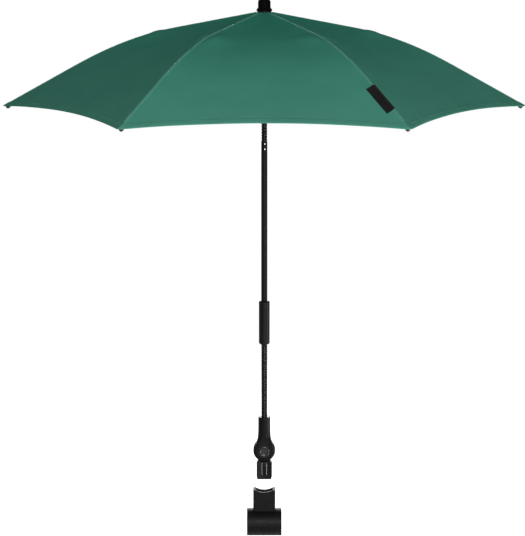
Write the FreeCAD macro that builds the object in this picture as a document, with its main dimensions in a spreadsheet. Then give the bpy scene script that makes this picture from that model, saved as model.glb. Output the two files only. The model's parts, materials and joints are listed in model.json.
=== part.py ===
import FreeCAD, Part
import Sketcher
import math
import os
import re

# Pram parasol: frame clip, plug-in tongue, tilting head, two flexible necks and a six-rib canopy.
# Millimetres, +Z up the mast, origin in the middle of the clip's tube bore, front towards -Y.

doc = FreeCAD.newDocument("pram_parasol")
sheet = doc.addObject("Spreadsheet::Sheet", "sizes")

# Driving dimensions
SIZES = [
    # Clip that snaps on the pram's frame tube
    ("bore_radius", 12.5),
    ("liner_thickness", 2.0),
    ("liner_length", 44.0),
    ("clip_wall", 5.2),
    ("clip_length", 49.4),
    ("mouth_width", 19.0),
    ("collar_width", 31.6),
    ("collar_depth", 17.0),
    ("collar_top", 49.0),
    ("collar_rounding", 2.5),
    ("notch_radius", 26.0),
    ("notch_depth", 3.4),
    ("socket_floor_thickness", 6.0),
    # Tongue that plugs into the clip
    ("fit_clearance", 0.3),
    ("tongue_width", 22.0),
    ("tongue_tip_width", 19.6),
    ("tongue_thickness", 10.0),
    ("tongue_reach", 42.0),
    ("tongue_taper", 5.0),
    ("key_width", 8.2),
    ("key_height", 0.9),
    ("stem_width", 18.0),
    # Tilting head
    ("pivot_height", 106.0),
    ("head_radius", 15.6),
    ("head_depth", 18.0),
    ("head_length", 49.0),
    ("head_neck_radius", 8.6),
    ("shoulder_half_width", 11.3),
    ("shoulder_low", 10.5),
    ("shoulder_high", 20.0),
    ("eye_radius", 12.5),
    ("eye_thickness", 6.0),
    ("pin_radius", 3.0),
    ("pin_clearance", 0.1),
    ("washer_radius", 9.0),
    ("washer_thickness", 0.7),
    ("washer_gap", 0.05),
    ("cap_radius", 7.9),
    ("cap_recess", 2.2),
    ("cap_height", 2.8),
    ("cap_edge", 0.7),
    # Lower flexible neck
    ("lower_neck_length", 105.0),
    ("lower_neck_radius", 4.25),
    ("lower_wire_radius", 1.2),
    ("core_gap", 0.25),
    ("rock_gap", 0.05),
    ("seat_depth", 10.0),
    ("seat_gap", 0.05),
    ("plug_thickness", 4.0),
    ("lower_link_pitch", 26.0),
    ("rock_angle", 30.0),
    # Sleeve in which the mast turns
    ("sleeve_radius", 7.65),
    ("sleeve_length", 62.4),
    ("sleeve_chamfer", 1.6),
    ("sleeve_web", 4.0),
    ("bush_thickness", 0.8),
    ("turn_gap", 0.05),
    # Mast
    ("mast_radius", 4.35),
    ("mast_wall", 0.75),
    ("mast_length", 211.0),
    ("end_gap", 0.3),
    # Upper flexible neck
    ("ferrule_radius", 4.3),
    ("ferrule_length", 14.0),
    ("spigot_length", 10.0),
    ("upper_neck_length", 49.0),
    ("upper_neck_radius", 3.9),
    ("upper_wire_radius", 1.1),
    ("upper_seat_depth", 7.0),
    ("upper_plug_thickness", 3.0),
    ("upper_link_pitch", 24.0),
    # Crown on the upper mast, with the wire on which the ribs hinge
    ("crown_rise", 126.6),
    ("crown_radius", 12.0),
    ("crown_below", 4.0),
    ("crown_above", 0.9),
    ("crown_ring_radius", 8.0),
    ("hinge_wire_radius", 0.6),
    ("hinge_eye_radius", 2.2),
    ("hinge_hole_radius", 0.8),
    ("tab_thickness", 1.5),
    # Top cap
    ("washer_height", 2.9),
    ("flange_radius", 10.8),
    ("flange_height", 4.6),
    ("button_radius", 8.4),
    ("button_height", 9.5),
    ("dome_height", 3.0),
    ("dome_radius", 4.5),
    ("stud_length", 12.0),
    # Ribs
    ("rod_radius", 1.5),
    ("rod_start", 6.0),
    ("rib_slope", 10.65),
    ("kink_radius", 142.0),
    ("kink_turn", 4.35),
    ("kink_bend", 100.0),
    ("bow_radius", 470.0),
    ("bow_turn", 14.0),
    ("canopy_radius", 360.0),
    ("rivet_radius", 0.6),
    ("tip_radius", 3.1),
    ("tip_sleeve_radius", 2.2),
    ("tip_sleeve_length", 8.0),
    # Stretchers and runner
    ("runner_depth", 91.9),
    ("runner_ring_radius", 11.0),
    ("runner_rim", 15.0),
    ("runner_flange", 4.0),
    ("runner_radius", 7.4),
    ("runner_length", 26.0),
    ("runner_gap", 0.3),
    ("bar_width", 4.0),
    ("bar_height", 3.2),
    ("prong_thickness", 1.2),
    ("prong_length", 38.0),
    # Cloth
    ("cloth_thickness", 0.6),
    ("cloth_gap", 0.9),
    ("cloth_inner", 11.6),
    ("hem_inset", 4.5),
    ("hem_sag", 8.0),
    ("panel_gap_angle", 0.05),
]

# Counts
RIBS = 6
LOWER_LINKS = 3
UPPER_LINKS = 1
LOWER_TURNS = 29
UPPER_TURNS = 14

for row, (alias, value) in enumerate(SIZES, start=1):
    sheet.set("A%d" % row, alias)
    sheet.set("B%d" % row, str(value))
    sheet.setAlias("B%d" % row, alias)
doc.recompute()

UP = FreeCAD.Vector(0, 0, 1)
nodes = []


def cells(expression):
    """Point every size name in an expression at its cell."""
    return re.sub(r"\b([a-z]+_[a-z_]+)\b", r"sizes.\1", expression)


def number(expression):
    """The present value of an expression over the sizes."""
    return float(sheet.evalExpression(cells(expression)))


def bind(item, **expressions):
    """Tie properties of an object to expressions over the sizes."""
    for name, expression in expressions.items():
        item.setExpression(name.replace("__", "."), cells(expression))
    return item


def keep(item, label):
    """Name a finished sub-part, which is then a node of its own."""
    item.Label = label
    nodes.append(item)
    return item


def move(item, x="0", y="0", z="0"):
    """Tie the position of an object to expressions."""
    return bind(item, Placement__Base__x=x, Placement__Base__y=y, Placement__Base__z=z)


AXIS_TURN = {
    "x": FreeCAD.Rotation(FreeCAD.Vector(0, 1, 0), 90),
    "y": FreeCAD.Rotation(FreeCAD.Vector(1, 0, 0), -90),
    "z": FreeCAD.Rotation(),
}


def rod(name, radius, length, axis="z", x="0", y="0", z="0"):
    """Cylinder that starts at a point and runs along an axis."""
    item = doc.addObject("Part::Cylinder", name)
    item.Placement = FreeCAD.Placement(FreeCAD.Vector(), AXIS_TURN[axis])
    bind(item, Radius=radius, Height=length)
    return move(item, x, y, z)


def cross_rod(name, radius, length, axis, z):
    """Cylinder along X or Y, centred on the mast axis at a height."""
    start = {axis: "-(%s) / 2" % length}
    return rod(name, radius, length, axis, z=z, **start)


def block(name, width, depth, height, z, y=None):
    """Box centred on X, and on Y unless its near face is given, that stands on a height."""
    item = doc.addObject("Part::Box", name)
    bind(item, Length=width, Width=depth, Height=height)
    near = "-(%s) / 2" % depth if y is None else y
    return move(item, "-(%s) / 2" % width, near, z)


def fuse(name, *items):
    """Join objects to one solid."""
    item = doc.addObject("Part::MultiFuse", name)
    item.Shapes = list(items)
    return item


def cut(name, base, *tools):
    """Take objects away from a base."""
    item = doc.addObject("Part::Cut", name)
    item.Base = base
    item.Tool = tools[0] if len(tools) == 1 else fuse(name + "_cutter", *tools)
    return item


def common(name, first, second):
    """What two objects share."""
    item = doc.addObject("Part::MultiCommon", name)
    item.Shapes = [first, second]
    return item


def outline_sketch(body, name, points, plane):
    """Closed sketch of straight sides, each corner tied to expressions over the sizes."""
    sketch = body.newObject("Sketcher::SketchObject", name)
    support = [one for one in body.Origin.OriginFeatures if one.Role == plane][0]
    sketch.AttachmentSupport = [(support, "")]
    sketch.MapMode = "FlatFace"
    corners = [FreeCAD.Vector(number(across), number(along), 0) for across, along in points]
    for index, corner in enumerate(corners):
        following = corners[(index + 1) % len(corners)]
        sketch.addGeometry(Part.LineSegment(corner, following))
    for index in range(len(points)):
        following = (index + 1) % len(points)
        sketch.addConstraint(Sketcher.Constraint("Coincident", index, 2, following, 1))
    for index, (across, along) in enumerate(points):
        for kind, axis, expression, value in (
            ("DistanceX", -2, across, corners[index].x),
            ("DistanceY", -1, along, corners[index].y),
        ):
            if expression == "0":
                sketch.addConstraint(Sketcher.Constraint("PointOnObject", index, 1, axis))
                continue
            place = sketch.addConstraint(Sketcher.Constraint(kind, -1, 1, index, 1, value))
            sketch.setExpression("Constraints[%d]" % place, cells(expression))
    return sketch


def turned(name, points):
    """Body turned about its own Z axis from a profile of radii and heights."""
    body = doc.addObject("PartDesign::Body", name)
    sketch = outline_sketch(body, name + "_profile", points, "XZ_Plane")
    turn = body.newObject("PartDesign::Revolution", name + "_turn")
    turn.Profile = sketch
    turn.ReferenceAxis = (sketch, ["V_Axis"])
    turn.Angle = 360
    body.Tip = turn
    return body


def plate(name, points, thickness):
    """Body padded to both sides of the XZ plane from a flat outline."""
    body = doc.addObject("PartDesign::Body", name)
    sketch = outline_sketch(body, name + "_outline", points, "XZ_Plane")
    pad = body.newObject("PartDesign::Pad", name + "_pad")
    pad.Profile = sketch
    pad.Midplane = True
    bind(pad, Length=thickness)
    body.Tip = pad
    return body


def mirrored(points):
    """Outline with its right half given from top to bottom, closed by its mirror image."""
    left = [("-(%s)" % across, along) for across, along in reversed(points)]
    return points + left


def around(angle):
    """Placement turned about the mast."""
    return FreeCAD.Placement(FreeCAD.Vector(), FreeCAD.Rotation(UP, angle))


# Heights along the mast
HEAD_TOP = "(pivot_height + head_length)"
SLEEVE_BOTTOM = "(%s + lower_neck_length)" % HEAD_TOP
SLEEVE_TOP = "(%s + sleeve_length)" % SLEEVE_BOTTOM
MAST_TOP = "(%s + mast_length)" % SLEEVE_TOP
FERRULE_TOP = "(%s + ferrule_length)" % MAST_TOP
SHAFT_BOTTOM = "(%s + upper_neck_length)" % FERRULE_TOP
CROWN_HEIGHT = "(%s + crown_rise)" % SHAFT_BOTTOM
RUNNER_HEIGHT = "(%s - runner_depth)" % CROWN_HEIGHT


# Frame clip
LINER_RADIUS = "(bore_radius + liner_thickness)"
CLIP_RADIUS = "(%s + clip_wall)" % LINER_RADIUS
SOCKET_FLOOR = "(%s + socket_floor_thickness)" % LINER_RADIUS


def mouth(name):
    """Slot at the back through which the frame tube snaps in."""
    reach = "2 * %s" % CLIP_RADIUS
    return block(name, "2 * clip_length", reach, "mouth_width", "-mouth_width / 2", y="0")


def frame_clip():
    """C-shaped barrel with the socket collar on top."""
    barrel = cross_rod("clip_barrel", CLIP_RADIUS, "clip_length", "x", "0")
    collar = block("clip_collar", "collar_width", "collar_depth", "collar_top", "0")
    rounded = doc.addObject("Part::Fillet", "clip_collar_rounded")
    rounded.Base = collar
    rounding = number("collar_rounding")
    rounded.Edges = [(edge, rounding, rounding) for edge in (1, 3, 5, 7)]
    bore = cross_rod("clip_bore", LINER_RADIUS, "2 * clip_length", "x", "0")
    socket = block(
        "clip_socket",
        "tongue_width + 2 * fit_clearance",
        "tongue_thickness + 2 * fit_clearance",
        "collar_top",
        SOCKET_FLOOR,
    )
    keyway = block(
        "clip_keyway",
        "key_width + 2 * fit_clearance",
        "tongue_thickness",
        "collar_top",
        SOCKET_FLOOR,
        y="-tongue_thickness / 2 - key_height - fit_clearance",
    )
    notch_height = "collar_top - notch_depth + notch_radius"
    notch = cross_rod("clip_notch", "notch_radius", "2 * collar_depth", "y", notch_height)
    solid = fuse("clip_solid", barrel, rounded)
    keep(cut("clip_shape", solid, bore, socket, keyway, notch, mouth("clip_mouth")), "clip_body")


def clip_liner():
    """Soft sleeve that grips the frame tube."""
    outside = cross_rod("liner_outside", LINER_RADIUS, "liner_length", "x", "0")
    inside = cross_rod("liner_inside", "bore_radius", "2 * liner_length", "x", "0")
    keep(cut("liner_shape", outside, inside, mouth("liner_mouth")), "clip_liner")


# Plug-in tongue
TONGUE_TIP = "(pivot_height - tongue_reach)"
TONGUE_TOP = "(pivot_height - head_radius - 2 * fit_clearance)"


def tongue():
    """Flat plug with a raised key in front and the pivot eye on top."""
    plug = plate(
        "tongue_plug",
        mirrored([
            ("tongue_width / 2", TONGUE_TOP),
            ("tongue_width / 2", "%s + tongue_taper" % TONGUE_TIP),
            ("tongue_tip_width / 2", TONGUE_TIP),
        ]),
        "tongue_thickness",
    )
    key = block(
        "tongue_key",
        "key_width",
        "tongue_thickness / 2 + key_height",
        "%s - %s - tongue_taper" % (TONGUE_TOP, TONGUE_TIP),
        "%s + tongue_taper" % TONGUE_TIP,
        y="-tongue_thickness / 2 - key_height",
    )
    stem_height = "pivot_height - %s" % TONGUE_TOP
    stem = block("tongue_stem", "stem_width", "eye_thickness", stem_height, TONGUE_TOP)
    eye = cross_rod("tongue_eye", "eye_radius", "eye_thickness", "y", "pivot_height")
    hole = cross_rod("tongue_hole", "pin_radius + pin_clearance", "head_depth", "y", "pivot_height")
    keep(cut("tongue_shape", fuse("tongue_solid", plug, key, stem, eye), hole), "tongue")


# Tilting head
SLOT = "(eye_thickness + 2 * washer_thickness + 4 * washer_gap)"
LOWER_SEAT = "(lower_neck_radius + 2 * seat_gap)"


def pivot_head():
    """Forked round head with a neck that holds the lower flexible neck."""
    disc = cross_rod("head_disc", "head_radius", "head_depth", "y", "pivot_height")
    neck = rod("head_neck", "head_neck_radius", "head_length", z="pivot_height")
    shoulder = plate(
        "head_shoulder",
        mirrored([
            ("head_neck_radius", "pivot_height + shoulder_high"),
            ("shoulder_half_width", "pivot_height + shoulder_low"),
        ]),
        "2 * head_neck_radius",
    )
    low = "pivot_height - 2 * head_radius"
    tall = "stem_width / 2 + 2 * fit_clearance + 2 * head_radius"
    slot = block("head_slot", "4 * head_radius", SLOT, tall, low)
    slot_root = cross_rod("head_slot_root", "eye_radius + 2 * fit_clearance", SLOT, "y", "pivot_height")
    hole = cross_rod("head_hole", "pin_radius", "head_depth", "y", "pivot_height")
    recess = "cap_radius + pin_clearance"
    near = "-head_depth / 2"
    far = "head_depth / 2 - cap_recess"
    front = rod("head_front_recess", recess, "cap_recess", "y", y=near, z="pivot_height")
    back = rod("head_back_recess", recess, "cap_recess", "y", y=far, z="pivot_height")
    seat = rod("head_seat", LOWER_SEAT, "seat_depth", z="%s - seat_depth" % HEAD_TOP)
    solid = fuse("head_solid", disc, neck, shoulder)
    keep(cut("head_shape", solid, slot, slot_root, hole, front, back, seat), "pivot_head")


def pivot_fittings():
    """Pin, friction washers and the two round covers of the tilting joint."""
    pin_length = "head_depth - 2 * cap_recess"
    keep(cross_rod("pin_shape", "pin_radius", pin_length, "y", "pivot_height"), "pivot_pin")
    rings = []
    for side, start in (("front", "-eye_thickness / 2 - washer_gap - washer_thickness"),
                        ("back", "eye_thickness / 2 + washer_gap")):
        name = "washer_%s" % side
        ring = rod(name, "washer_radius", "washer_thickness", "y", y=start, z="pivot_height")
        bore = "pin_radius + pin_clearance"
        hole = cross_rod(name + "_hole", bore, "head_depth", "y", "pivot_height")
        rings.append(cut(name + "_ring", ring, hole))
    pair = doc.addObject("Part::Compound", "washer_pair")
    pair.Links = rings
    keep(pair, "pivot_washers")
    for side, sign in (("front", -1), ("back", 1)):
        cap = turned("cap_%s" % side, [
            ("0", "0"),
            ("cap_radius", "0"),
            ("cap_radius", "cap_height - cap_edge"),
            ("cap_radius - cap_edge", "cap_height"),
            ("0", "cap_height"),
        ])
        facing = FreeCAD.Rotation(FreeCAD.Vector(1, 0, 0), -sign * 90)
        cap.Placement = FreeCAD.Placement(FreeCAD.Vector(), facing)
        move(cap, y="%d * (head_depth / 2 - cap_recess)" % sign, z="pivot_height")
        keep(cap, "pivot_cap_%s" % side)


# Flexible necks: rocking links inside a wound wire
def core_radius(part):
    """Radius of the links inside a neck's winding."""
    return "(%s_neck_radius - 2 * %s_wire_radius - core_gap)" % (part, part)


def joint_height(part, count, index, bottom):
    """Height of one of a neck's rocking joints, numbered from the bottom."""
    margin = "(%s_neck_length - %d * %s_link_pitch) / 2" % (part, count, part)
    return "(%s + %s + %d * %s_link_pitch)" % (bottom, margin, index, part)


def domed_post(name, radius, low, joint, axis):
    """Post whose upper end is rounded about a rocking joint."""
    post = rod(name + "_post", radius, "%s - %s" % (joint, low), z=low)
    round_end = cross_rod(name + "_end", radius, "2 * %s" % radius, axis, joint)
    column = rod(name + "_column", radius, radius, z=joint)
    return fuse(name + "_domed", post, common(name + "_dome", round_end, column))


def saddle(name, radius, joint, axis):
    """Round groove that rocks on the post below."""
    return cross_rod(name + "_saddle", "%s + rock_gap" % radius, "4 * %s" % radius, axis, joint)


def neck_axis(part, index):
    """Direction of a neck joint: the lower ones alternate, the upper ones all bend forwards."""
    return "y" if part == "lower" and index % 2 else "x"


def rock_start(radius, joint):
    """Height at which a rocking end begins, so that it clears the post below at its full angle."""
    return "(%s + %s * tan(rock_angle) + rock_gap)" % (joint, radius)


def neck_links(part, count, bottom):
    """Links of a neck, each rocking on the one below."""
    radius = core_radius(part)
    for index in range(count):
        name = "%s_neck_link_%d" % (part, index + 1)
        low = joint_height(part, count, index, bottom)
        high = joint_height(part, count, index + 1, bottom)
        post = domed_post(name, radius, rock_start(radius, low), high, neck_axis(part, index + 1))
        keep(cut(name + "_shape", post, saddle(name, radius, low, neck_axis(part, index))), name)


def hanging_post(name, part, count, bottom, top):
    """Post from a neck's last rocking joint up to a height."""
    radius = core_radius(part)
    joint = joint_height(part, count, count, bottom)
    start = rock_start(radius, joint)
    post = rod(name + "_post", radius, "%s - %s" % (top, start), z=start)
    return cut(name + "_hung", post, saddle(name, radius, joint, neck_axis(part, count)))


def arc_point(start, direction, end):
    """Middle of the arc that leaves a point in a direction and reaches another."""
    chord = end - start
    along = FreeCAD.Vector(chord).normalize()
    side = (direction - along * direction.dot(along)).normalize()
    angle = direction.getAngle(chord)
    return start + chord * 0.5 + side * (chord.Length / 2 * math.tan(angle / 2))


def biarc(start, leaving, end, arriving):
    """Two arcs with a common tangent between two points with given directions."""
    chord = end - start
    total = leaving + arriving
    spread = 2 * (1 - leaving.dot(arriving))
    reach = -chord.dot(total) + math.sqrt(chord.dot(total) ** 2 + spread * chord.dot(chord))
    reach = reach / spread
    middle = (start + leaving * reach + end - arriving * reach) * 0.5
    turn = (end - arriving * reach - start - leaving * reach).normalize()
    first = Part.Arc(start, arc_point(start, leaving, middle), middle)
    second = Part.Arc(middle, arc_point(middle, turn, end), end)
    return [first.toShape(), second.toShape()]


def winding(name, mean, wire, low, high, turns):
    """One wire wound from seat to seat, with straight ends that meet the seats squarely."""
    bend = 2 * wire
    lead = 0.0
    for _ in range(turns):
        climb = (high - low - 4 * wire - 2 * bend * math.cos(lead)) / turns
        lead = math.atan(climb / (2 * math.pi * mean))
    slant = math.hypot(climb, 2 * math.pi * mean)

    def at(across, along, heading):
        angle = across / mean
        place = FreeCAD.Vector(mean * math.cos(angle), mean * math.sin(angle), along)
        flat = FreeCAD.Vector(-math.sin(angle), math.cos(angle), 0) * math.cos(heading)
        return place, flat + UP * math.sin(heading)

    square = math.pi / 2
    side = bend * (1 - math.sin(lead))
    stations = [at(0, low + 2 * wire, square)]
    for half in range(2 * turns + 1):
        run = slant * half / 2
        height = low + 2 * wire + bend * math.cos(lead) + run * math.sin(lead)
        stations.append(at(side + run * math.cos(lead), height, lead))
    last = side + slant * turns * math.cos(lead)
    stations.append(at(last + side, high - 2 * wire, square))
    foot = stations[0][0] - UP * (2 * wire)
    head = stations[-1][0] + UP * (2 * wire)
    edges = [Part.LineSegment(foot, stations[0][0]).toShape()]
    for (start, leaving), (end, arriving) in zip(stations, stations[1:]):
        edges += biarc(start, leaving, end, arriving)
    edges.append(Part.LineSegment(stations[-1][0], head).toShape())
    path = Part.Wire(edges)
    ring = Part.Wire([Part.makeCircle(wire, foot, UP)])
    item = doc.addObject("Part::Feature", name + "_shape")
    item.Shape = path.makePipeShell([ring], True, False)
    points = [vertex.Point for vertex in path.Vertexes[2:-2]]
    apart = [
        (points[first] - points[second]).Length
        for first in range(len(points))
        for second in range(first + 4, len(points))
    ]
    print(name, "least gap between turns %.2f mm" % (min(apart) - 2 * wire))
    print(name, "volume over section times length %.4f" % (
        item.Shape.Volume / (math.pi * wire ** 2 * path.Length)))
    keep(item, name)


LOWER_FLOOR = "(%s - seat_depth + plug_thickness)" % HEAD_TOP
LOWER_CEILING = "(%s + seat_depth - plug_thickness)" % SLEEVE_BOTTOM
UPPER_FLOOR = "(%s - upper_seat_depth)" % FERRULE_TOP
UPPER_CEILING = "(%s + upper_seat_depth - upper_plug_thickness)" % SHAFT_BOTTOM


def lower_neck():
    """Lower neck from the tilting head to the sleeve."""
    radius = core_radius("lower")
    plug_radius = "lower_neck_radius + seat_gap"
    plug = rod("foot_plug", plug_radius, "plug_thickness", z="%s - seat_depth" % HEAD_TOP)
    first = joint_height("lower", LOWER_LINKS, 0, HEAD_TOP)
    post = domed_post("foot", radius, LOWER_FLOOR, first, neck_axis("lower", 0))
    keep(fuse("foot_shape", plug, post), "lower_neck_foot")
    neck_links("lower", LOWER_LINKS, HEAD_TOP)
    plug = rod("head_plug", plug_radius, "plug_thickness", z=LOWER_CEILING)
    post = hanging_post("head", "lower", LOWER_LINKS, HEAD_TOP, LOWER_CEILING)
    keep(fuse("head_plug_shape", plug, post), "lower_neck_head")
    wire = number("lower_wire_radius")
    winding("lower_neck_winding", number("lower_neck_radius") - wire, wire,
            number(LOWER_FLOOR), number(LOWER_CEILING), LOWER_TURNS)


# Sleeve and mast
SOCKET_RADIUS = "(mast_radius + turn_gap + bush_thickness)"
SOCKET_START = "(seat_depth + sleeve_web)"


def sleeve():
    """Grip sleeve that holds the lower neck and lets the mast turn in a bush."""
    body = turned("sleeve_shape", [
        (LOWER_SEAT, "0"),
        ("sleeve_radius - sleeve_chamfer", "0"),
        ("sleeve_radius", "sleeve_chamfer"),
        ("sleeve_radius", "sleeve_length - sleeve_chamfer"),
        ("sleeve_radius - sleeve_chamfer", "sleeve_length"),
        (SOCKET_RADIUS, "sleeve_length"),
        (SOCKET_RADIUS, SOCKET_START),
        ("0", SOCKET_START),
        ("0", "seat_depth"),
        (LOWER_SEAT, "seat_depth"),
    ])
    keep(move(body, z=SLEEVE_BOTTOM), "sleeve")
    bush = tube("bush_shape", SOCKET_RADIUS, "bush_thickness", "sleeve_length - %s" % SOCKET_START)
    keep(move(bush, z="%s + %s" % (SLEEVE_BOTTOM, SOCKET_START)), "sleeve_bush")


def tube(name, radius, wall, length):
    """Plain tube."""
    return turned(name, [
        ("%s - (%s)" % (radius, wall), "0"),
        (radius, "0"),
        (radius, length),
        ("%s - (%s)" % (radius, wall), length),
    ])


def mast():
    """Main tube that turns in the sleeve."""
    start = "(%s + %s + end_gap)" % (SLEEVE_BOTTOM, SOCKET_START)
    pipe = tube("mast_shape", "mast_radius", "mast_wall", "%s - %s" % (MAST_TOP, start))
    keep(move(pipe, z=start), "mast_tube")


MAST_BORE = "(mast_radius - mast_wall)"
UPPER_SEAT = "(upper_neck_radius + 2 * seat_gap)"


def upper_neck():
    """Upper neck from the mast's ferrule to the canopy's shaft."""
    radius = core_radius("upper")
    ferrule = turned("ferrule", [
        ("0", "0"),
        ("%s - seat_gap" % MAST_BORE, "0"),
        ("%s - seat_gap" % MAST_BORE, "spigot_length"),
        ("ferrule_radius", "spigot_length"),
        ("ferrule_radius", "spigot_length + ferrule_length"),
        (UPPER_SEAT, "spigot_length + ferrule_length"),
        (UPPER_SEAT, "spigot_length + ferrule_length - upper_seat_depth"),
        ("0", "spigot_length + ferrule_length - upper_seat_depth"),
    ])
    move(ferrule, z="%s - spigot_length" % MAST_TOP)
    first = joint_height("upper", UPPER_LINKS, 0, FERRULE_TOP)
    post = domed_post("ferrule_core", radius, UPPER_FLOOR, first, neck_axis("upper", 0))
    keep(fuse("ferrule_shape", ferrule, post), "upper_neck_collar")
    neck_links("upper", UPPER_LINKS, FERRULE_TOP)
    plug_radius = "upper_neck_radius + seat_gap"
    plug = rod("upper_plug", plug_radius, "upper_plug_thickness", z=UPPER_CEILING)
    post = hanging_post("upper_head", "upper", UPPER_LINKS, FERRULE_TOP, UPPER_CEILING)
    keep(fuse("upper_plug_shape", plug, post), "upper_neck_head")
    wire = number("upper_wire_radius")
    winding("upper_neck_winding", number("upper_neck_radius") - wire, wire,
            number(UPPER_FLOOR), number(UPPER_CEILING), UPPER_TURNS)


# Canopy shaft, crown and cap
def shaft():
    """Tube inside the canopy, on which the runner slides."""
    pipe = turned("shaft_shape", [
        (UPPER_SEAT, "0"),
        ("mast_radius", "0"),
        ("mast_radius", "crown_rise + crown_above"),
        (MAST_BORE, "crown_rise + crown_above"),
        (MAST_BORE, "upper_seat_depth"),
        (UPPER_SEAT, "upper_seat_depth"),
    ])
    keep(move(pipe, z=SHAFT_BOTTOM), "upper_mast")


def hinge_slots(name, ring, rim, height):
    """Radial slots for the hinged tabs, right through a rim."""
    width = number("tab_thickness + 2 * fit_clearance")
    inner = number("%s - hinge_eye_radius - 2 * fit_clearance" % ring)
    length = number("2 * %s" % rim) - inner
    tall = number("crown_radius + runner_rim")
    tools = []
    for index in range(RIBS):
        slot = doc.addObject("Part::Box", "%s_slot_%d" % (name, index + 1))
        slot.Length = length
        slot.Width = width
        slot.Height = 2 * tall
        corner = FreeCAD.Vector(inner, -width / 2, number(height) - tall)
        start = FreeCAD.Placement(corner, FreeCAD.Rotation())
        slot.Placement = around(360 * index / RIBS).multiply(start)
        tools.append(slot)
    return fuse(name + "_slots", *tools)


def wire_groove(name, ring, height, rise):
    """Ring groove, open at the top, in which the hinge wire lies."""
    seat = "(hinge_wire_radius + seat_gap)"
    outside = "(%s + %s)" % (ring, seat)
    groove = tube(name + "_groove", outside, "2 * %s" % seat, "2 * %s + %s" % (seat, rise))
    return move(groove, z="%s - %s" % (height, seat))


def hinge_wire(name, ring, height):
    """Ring of wire on which a set of tabs hinges."""
    wire = doc.addObject("Part::Torus", name + "_shape")
    bind(wire, Radius1=ring, Radius2="hinge_wire_radius")
    keep(move(wire, z=height), name)


def crown():
    """Slotted disc on the shaft that carries the ribs."""
    wall = "crown_radius - mast_radius - seat_gap"
    disc = tube("crown_disc", "crown_radius", wall, "crown_below + crown_above")
    move(disc, z="%s - crown_below" % CROWN_HEIGHT)
    slots = hinge_slots("crown", "crown_ring_radius", "crown_radius", CROWN_HEIGHT)
    groove = wire_groove("crown", "crown_ring_radius", CROWN_HEIGHT, "crown_above")
    keep(cut("crown_shape", disc, slots, groove), "crown")
    hinge_wire("crown_wire", "crown_ring_radius", CROWN_HEIGHT)


CAP_BASE = "(%s + crown_above + seat_gap)" % CROWN_HEIGHT
GORE_DRAW = math.cos(math.pi / RIBS)


def top_cap():
    """Cap screwed into the shaft over a stepped washer that bridges the rib eyes."""
    hub = "(crown_ring_radius - hinge_eye_radius - 2 * fit_clearance)"
    rim = "(cloth_inner * %r - fit_clearance)" % GORE_DRAW
    step = "(hinge_eye_radius + fit_clearance - crown_above - seat_gap)"
    washer = turned("cap_washer_shape", [
        ("mast_radius", "0"),
        (hub, "0"),
        (hub, step),
        (rim, step),
        (rim, "washer_height"),
        ("mast_radius", "washer_height"),
    ])
    keep(move(washer, z=CAP_BASE), "cap_washer")
    cap = turned("cap_shape", [
        ("0", "0"),
        ("%s - seat_gap" % MAST_BORE, "0"),
        ("%s - seat_gap" % MAST_BORE, "stud_length"),
        ("flange_radius", "stud_length"),
        ("flange_radius", "stud_length + flange_height / 2"),
        ("button_radius", "stud_length + flange_height"),
        ("button_radius", "stud_length + flange_height + button_height"),
        ("dome_radius", "stud_length + flange_height + button_height + dome_height"),
        ("0", "stud_length + flange_height + button_height + dome_height"),
    ])
    keep(move(cap, z="%s + washer_height + seat_gap - stud_length" % CAP_BASE), "top_cap")


# Ribs and cloth share one bowed profile, seen in the plane of a rib
def bowed_profile(lift, start, end):
    """Line, bend, bow and line at a distance above the rib's middle line, between two radii."""
    slope = math.radians(number("rib_slope"))
    bent = slope + math.radians(number("kink_turn"))
    final = bent + math.radians(number("bow_turn"))

    def ahead(angle, length):
        return FreeCAD.Vector(math.cos(angle), 0, -math.sin(angle)) * length

    def normal(angle, length):
        return FreeCAD.Vector(math.sin(angle), 0, math.cos(angle)) * length

    reach = number("kink_bend") * math.tan((bent - slope) / 2)
    run = number("kink_radius - crown_ring_radius")
    kink = FreeCAD.Vector(number("kink_radius"), 0, -run * math.tan(slope))
    bend_centre = kink - ahead(slope, reach) - normal(slope, number("kink_bend"))
    bow_centre = kink + ahead(bent, reach) - normal(bent, number("bow_radius"))

    def arc(centre, radius, low, high):
        return [centre + normal(angle, radius + lift) for angle in (low, (low + high) / 2, high)]

    bend = arc(bend_centre, number("kink_bend"), slope, bent)
    bow = arc(bow_centre, number("bow_radius"), bent, final)
    first = bend[0] + ahead(slope, (start - bend[0].x) / math.cos(slope))
    last = bow[2] + ahead(final, (end - bow[2].x) / math.cos(final))
    return [[first, bend[0]], bend, bow, [bow[2], last]]


def edge_through(points):
    """Straight edge through two points, or arc through three."""
    if len(points) == 2:
        return Part.LineSegment(*points).toShape()
    return Part.Arc(*points).toShape()


ROD_END = "(canopy_radius - tip_radius)"
FINAL_SLOPE = "(rib_slope + kink_turn + bow_turn)"


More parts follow.
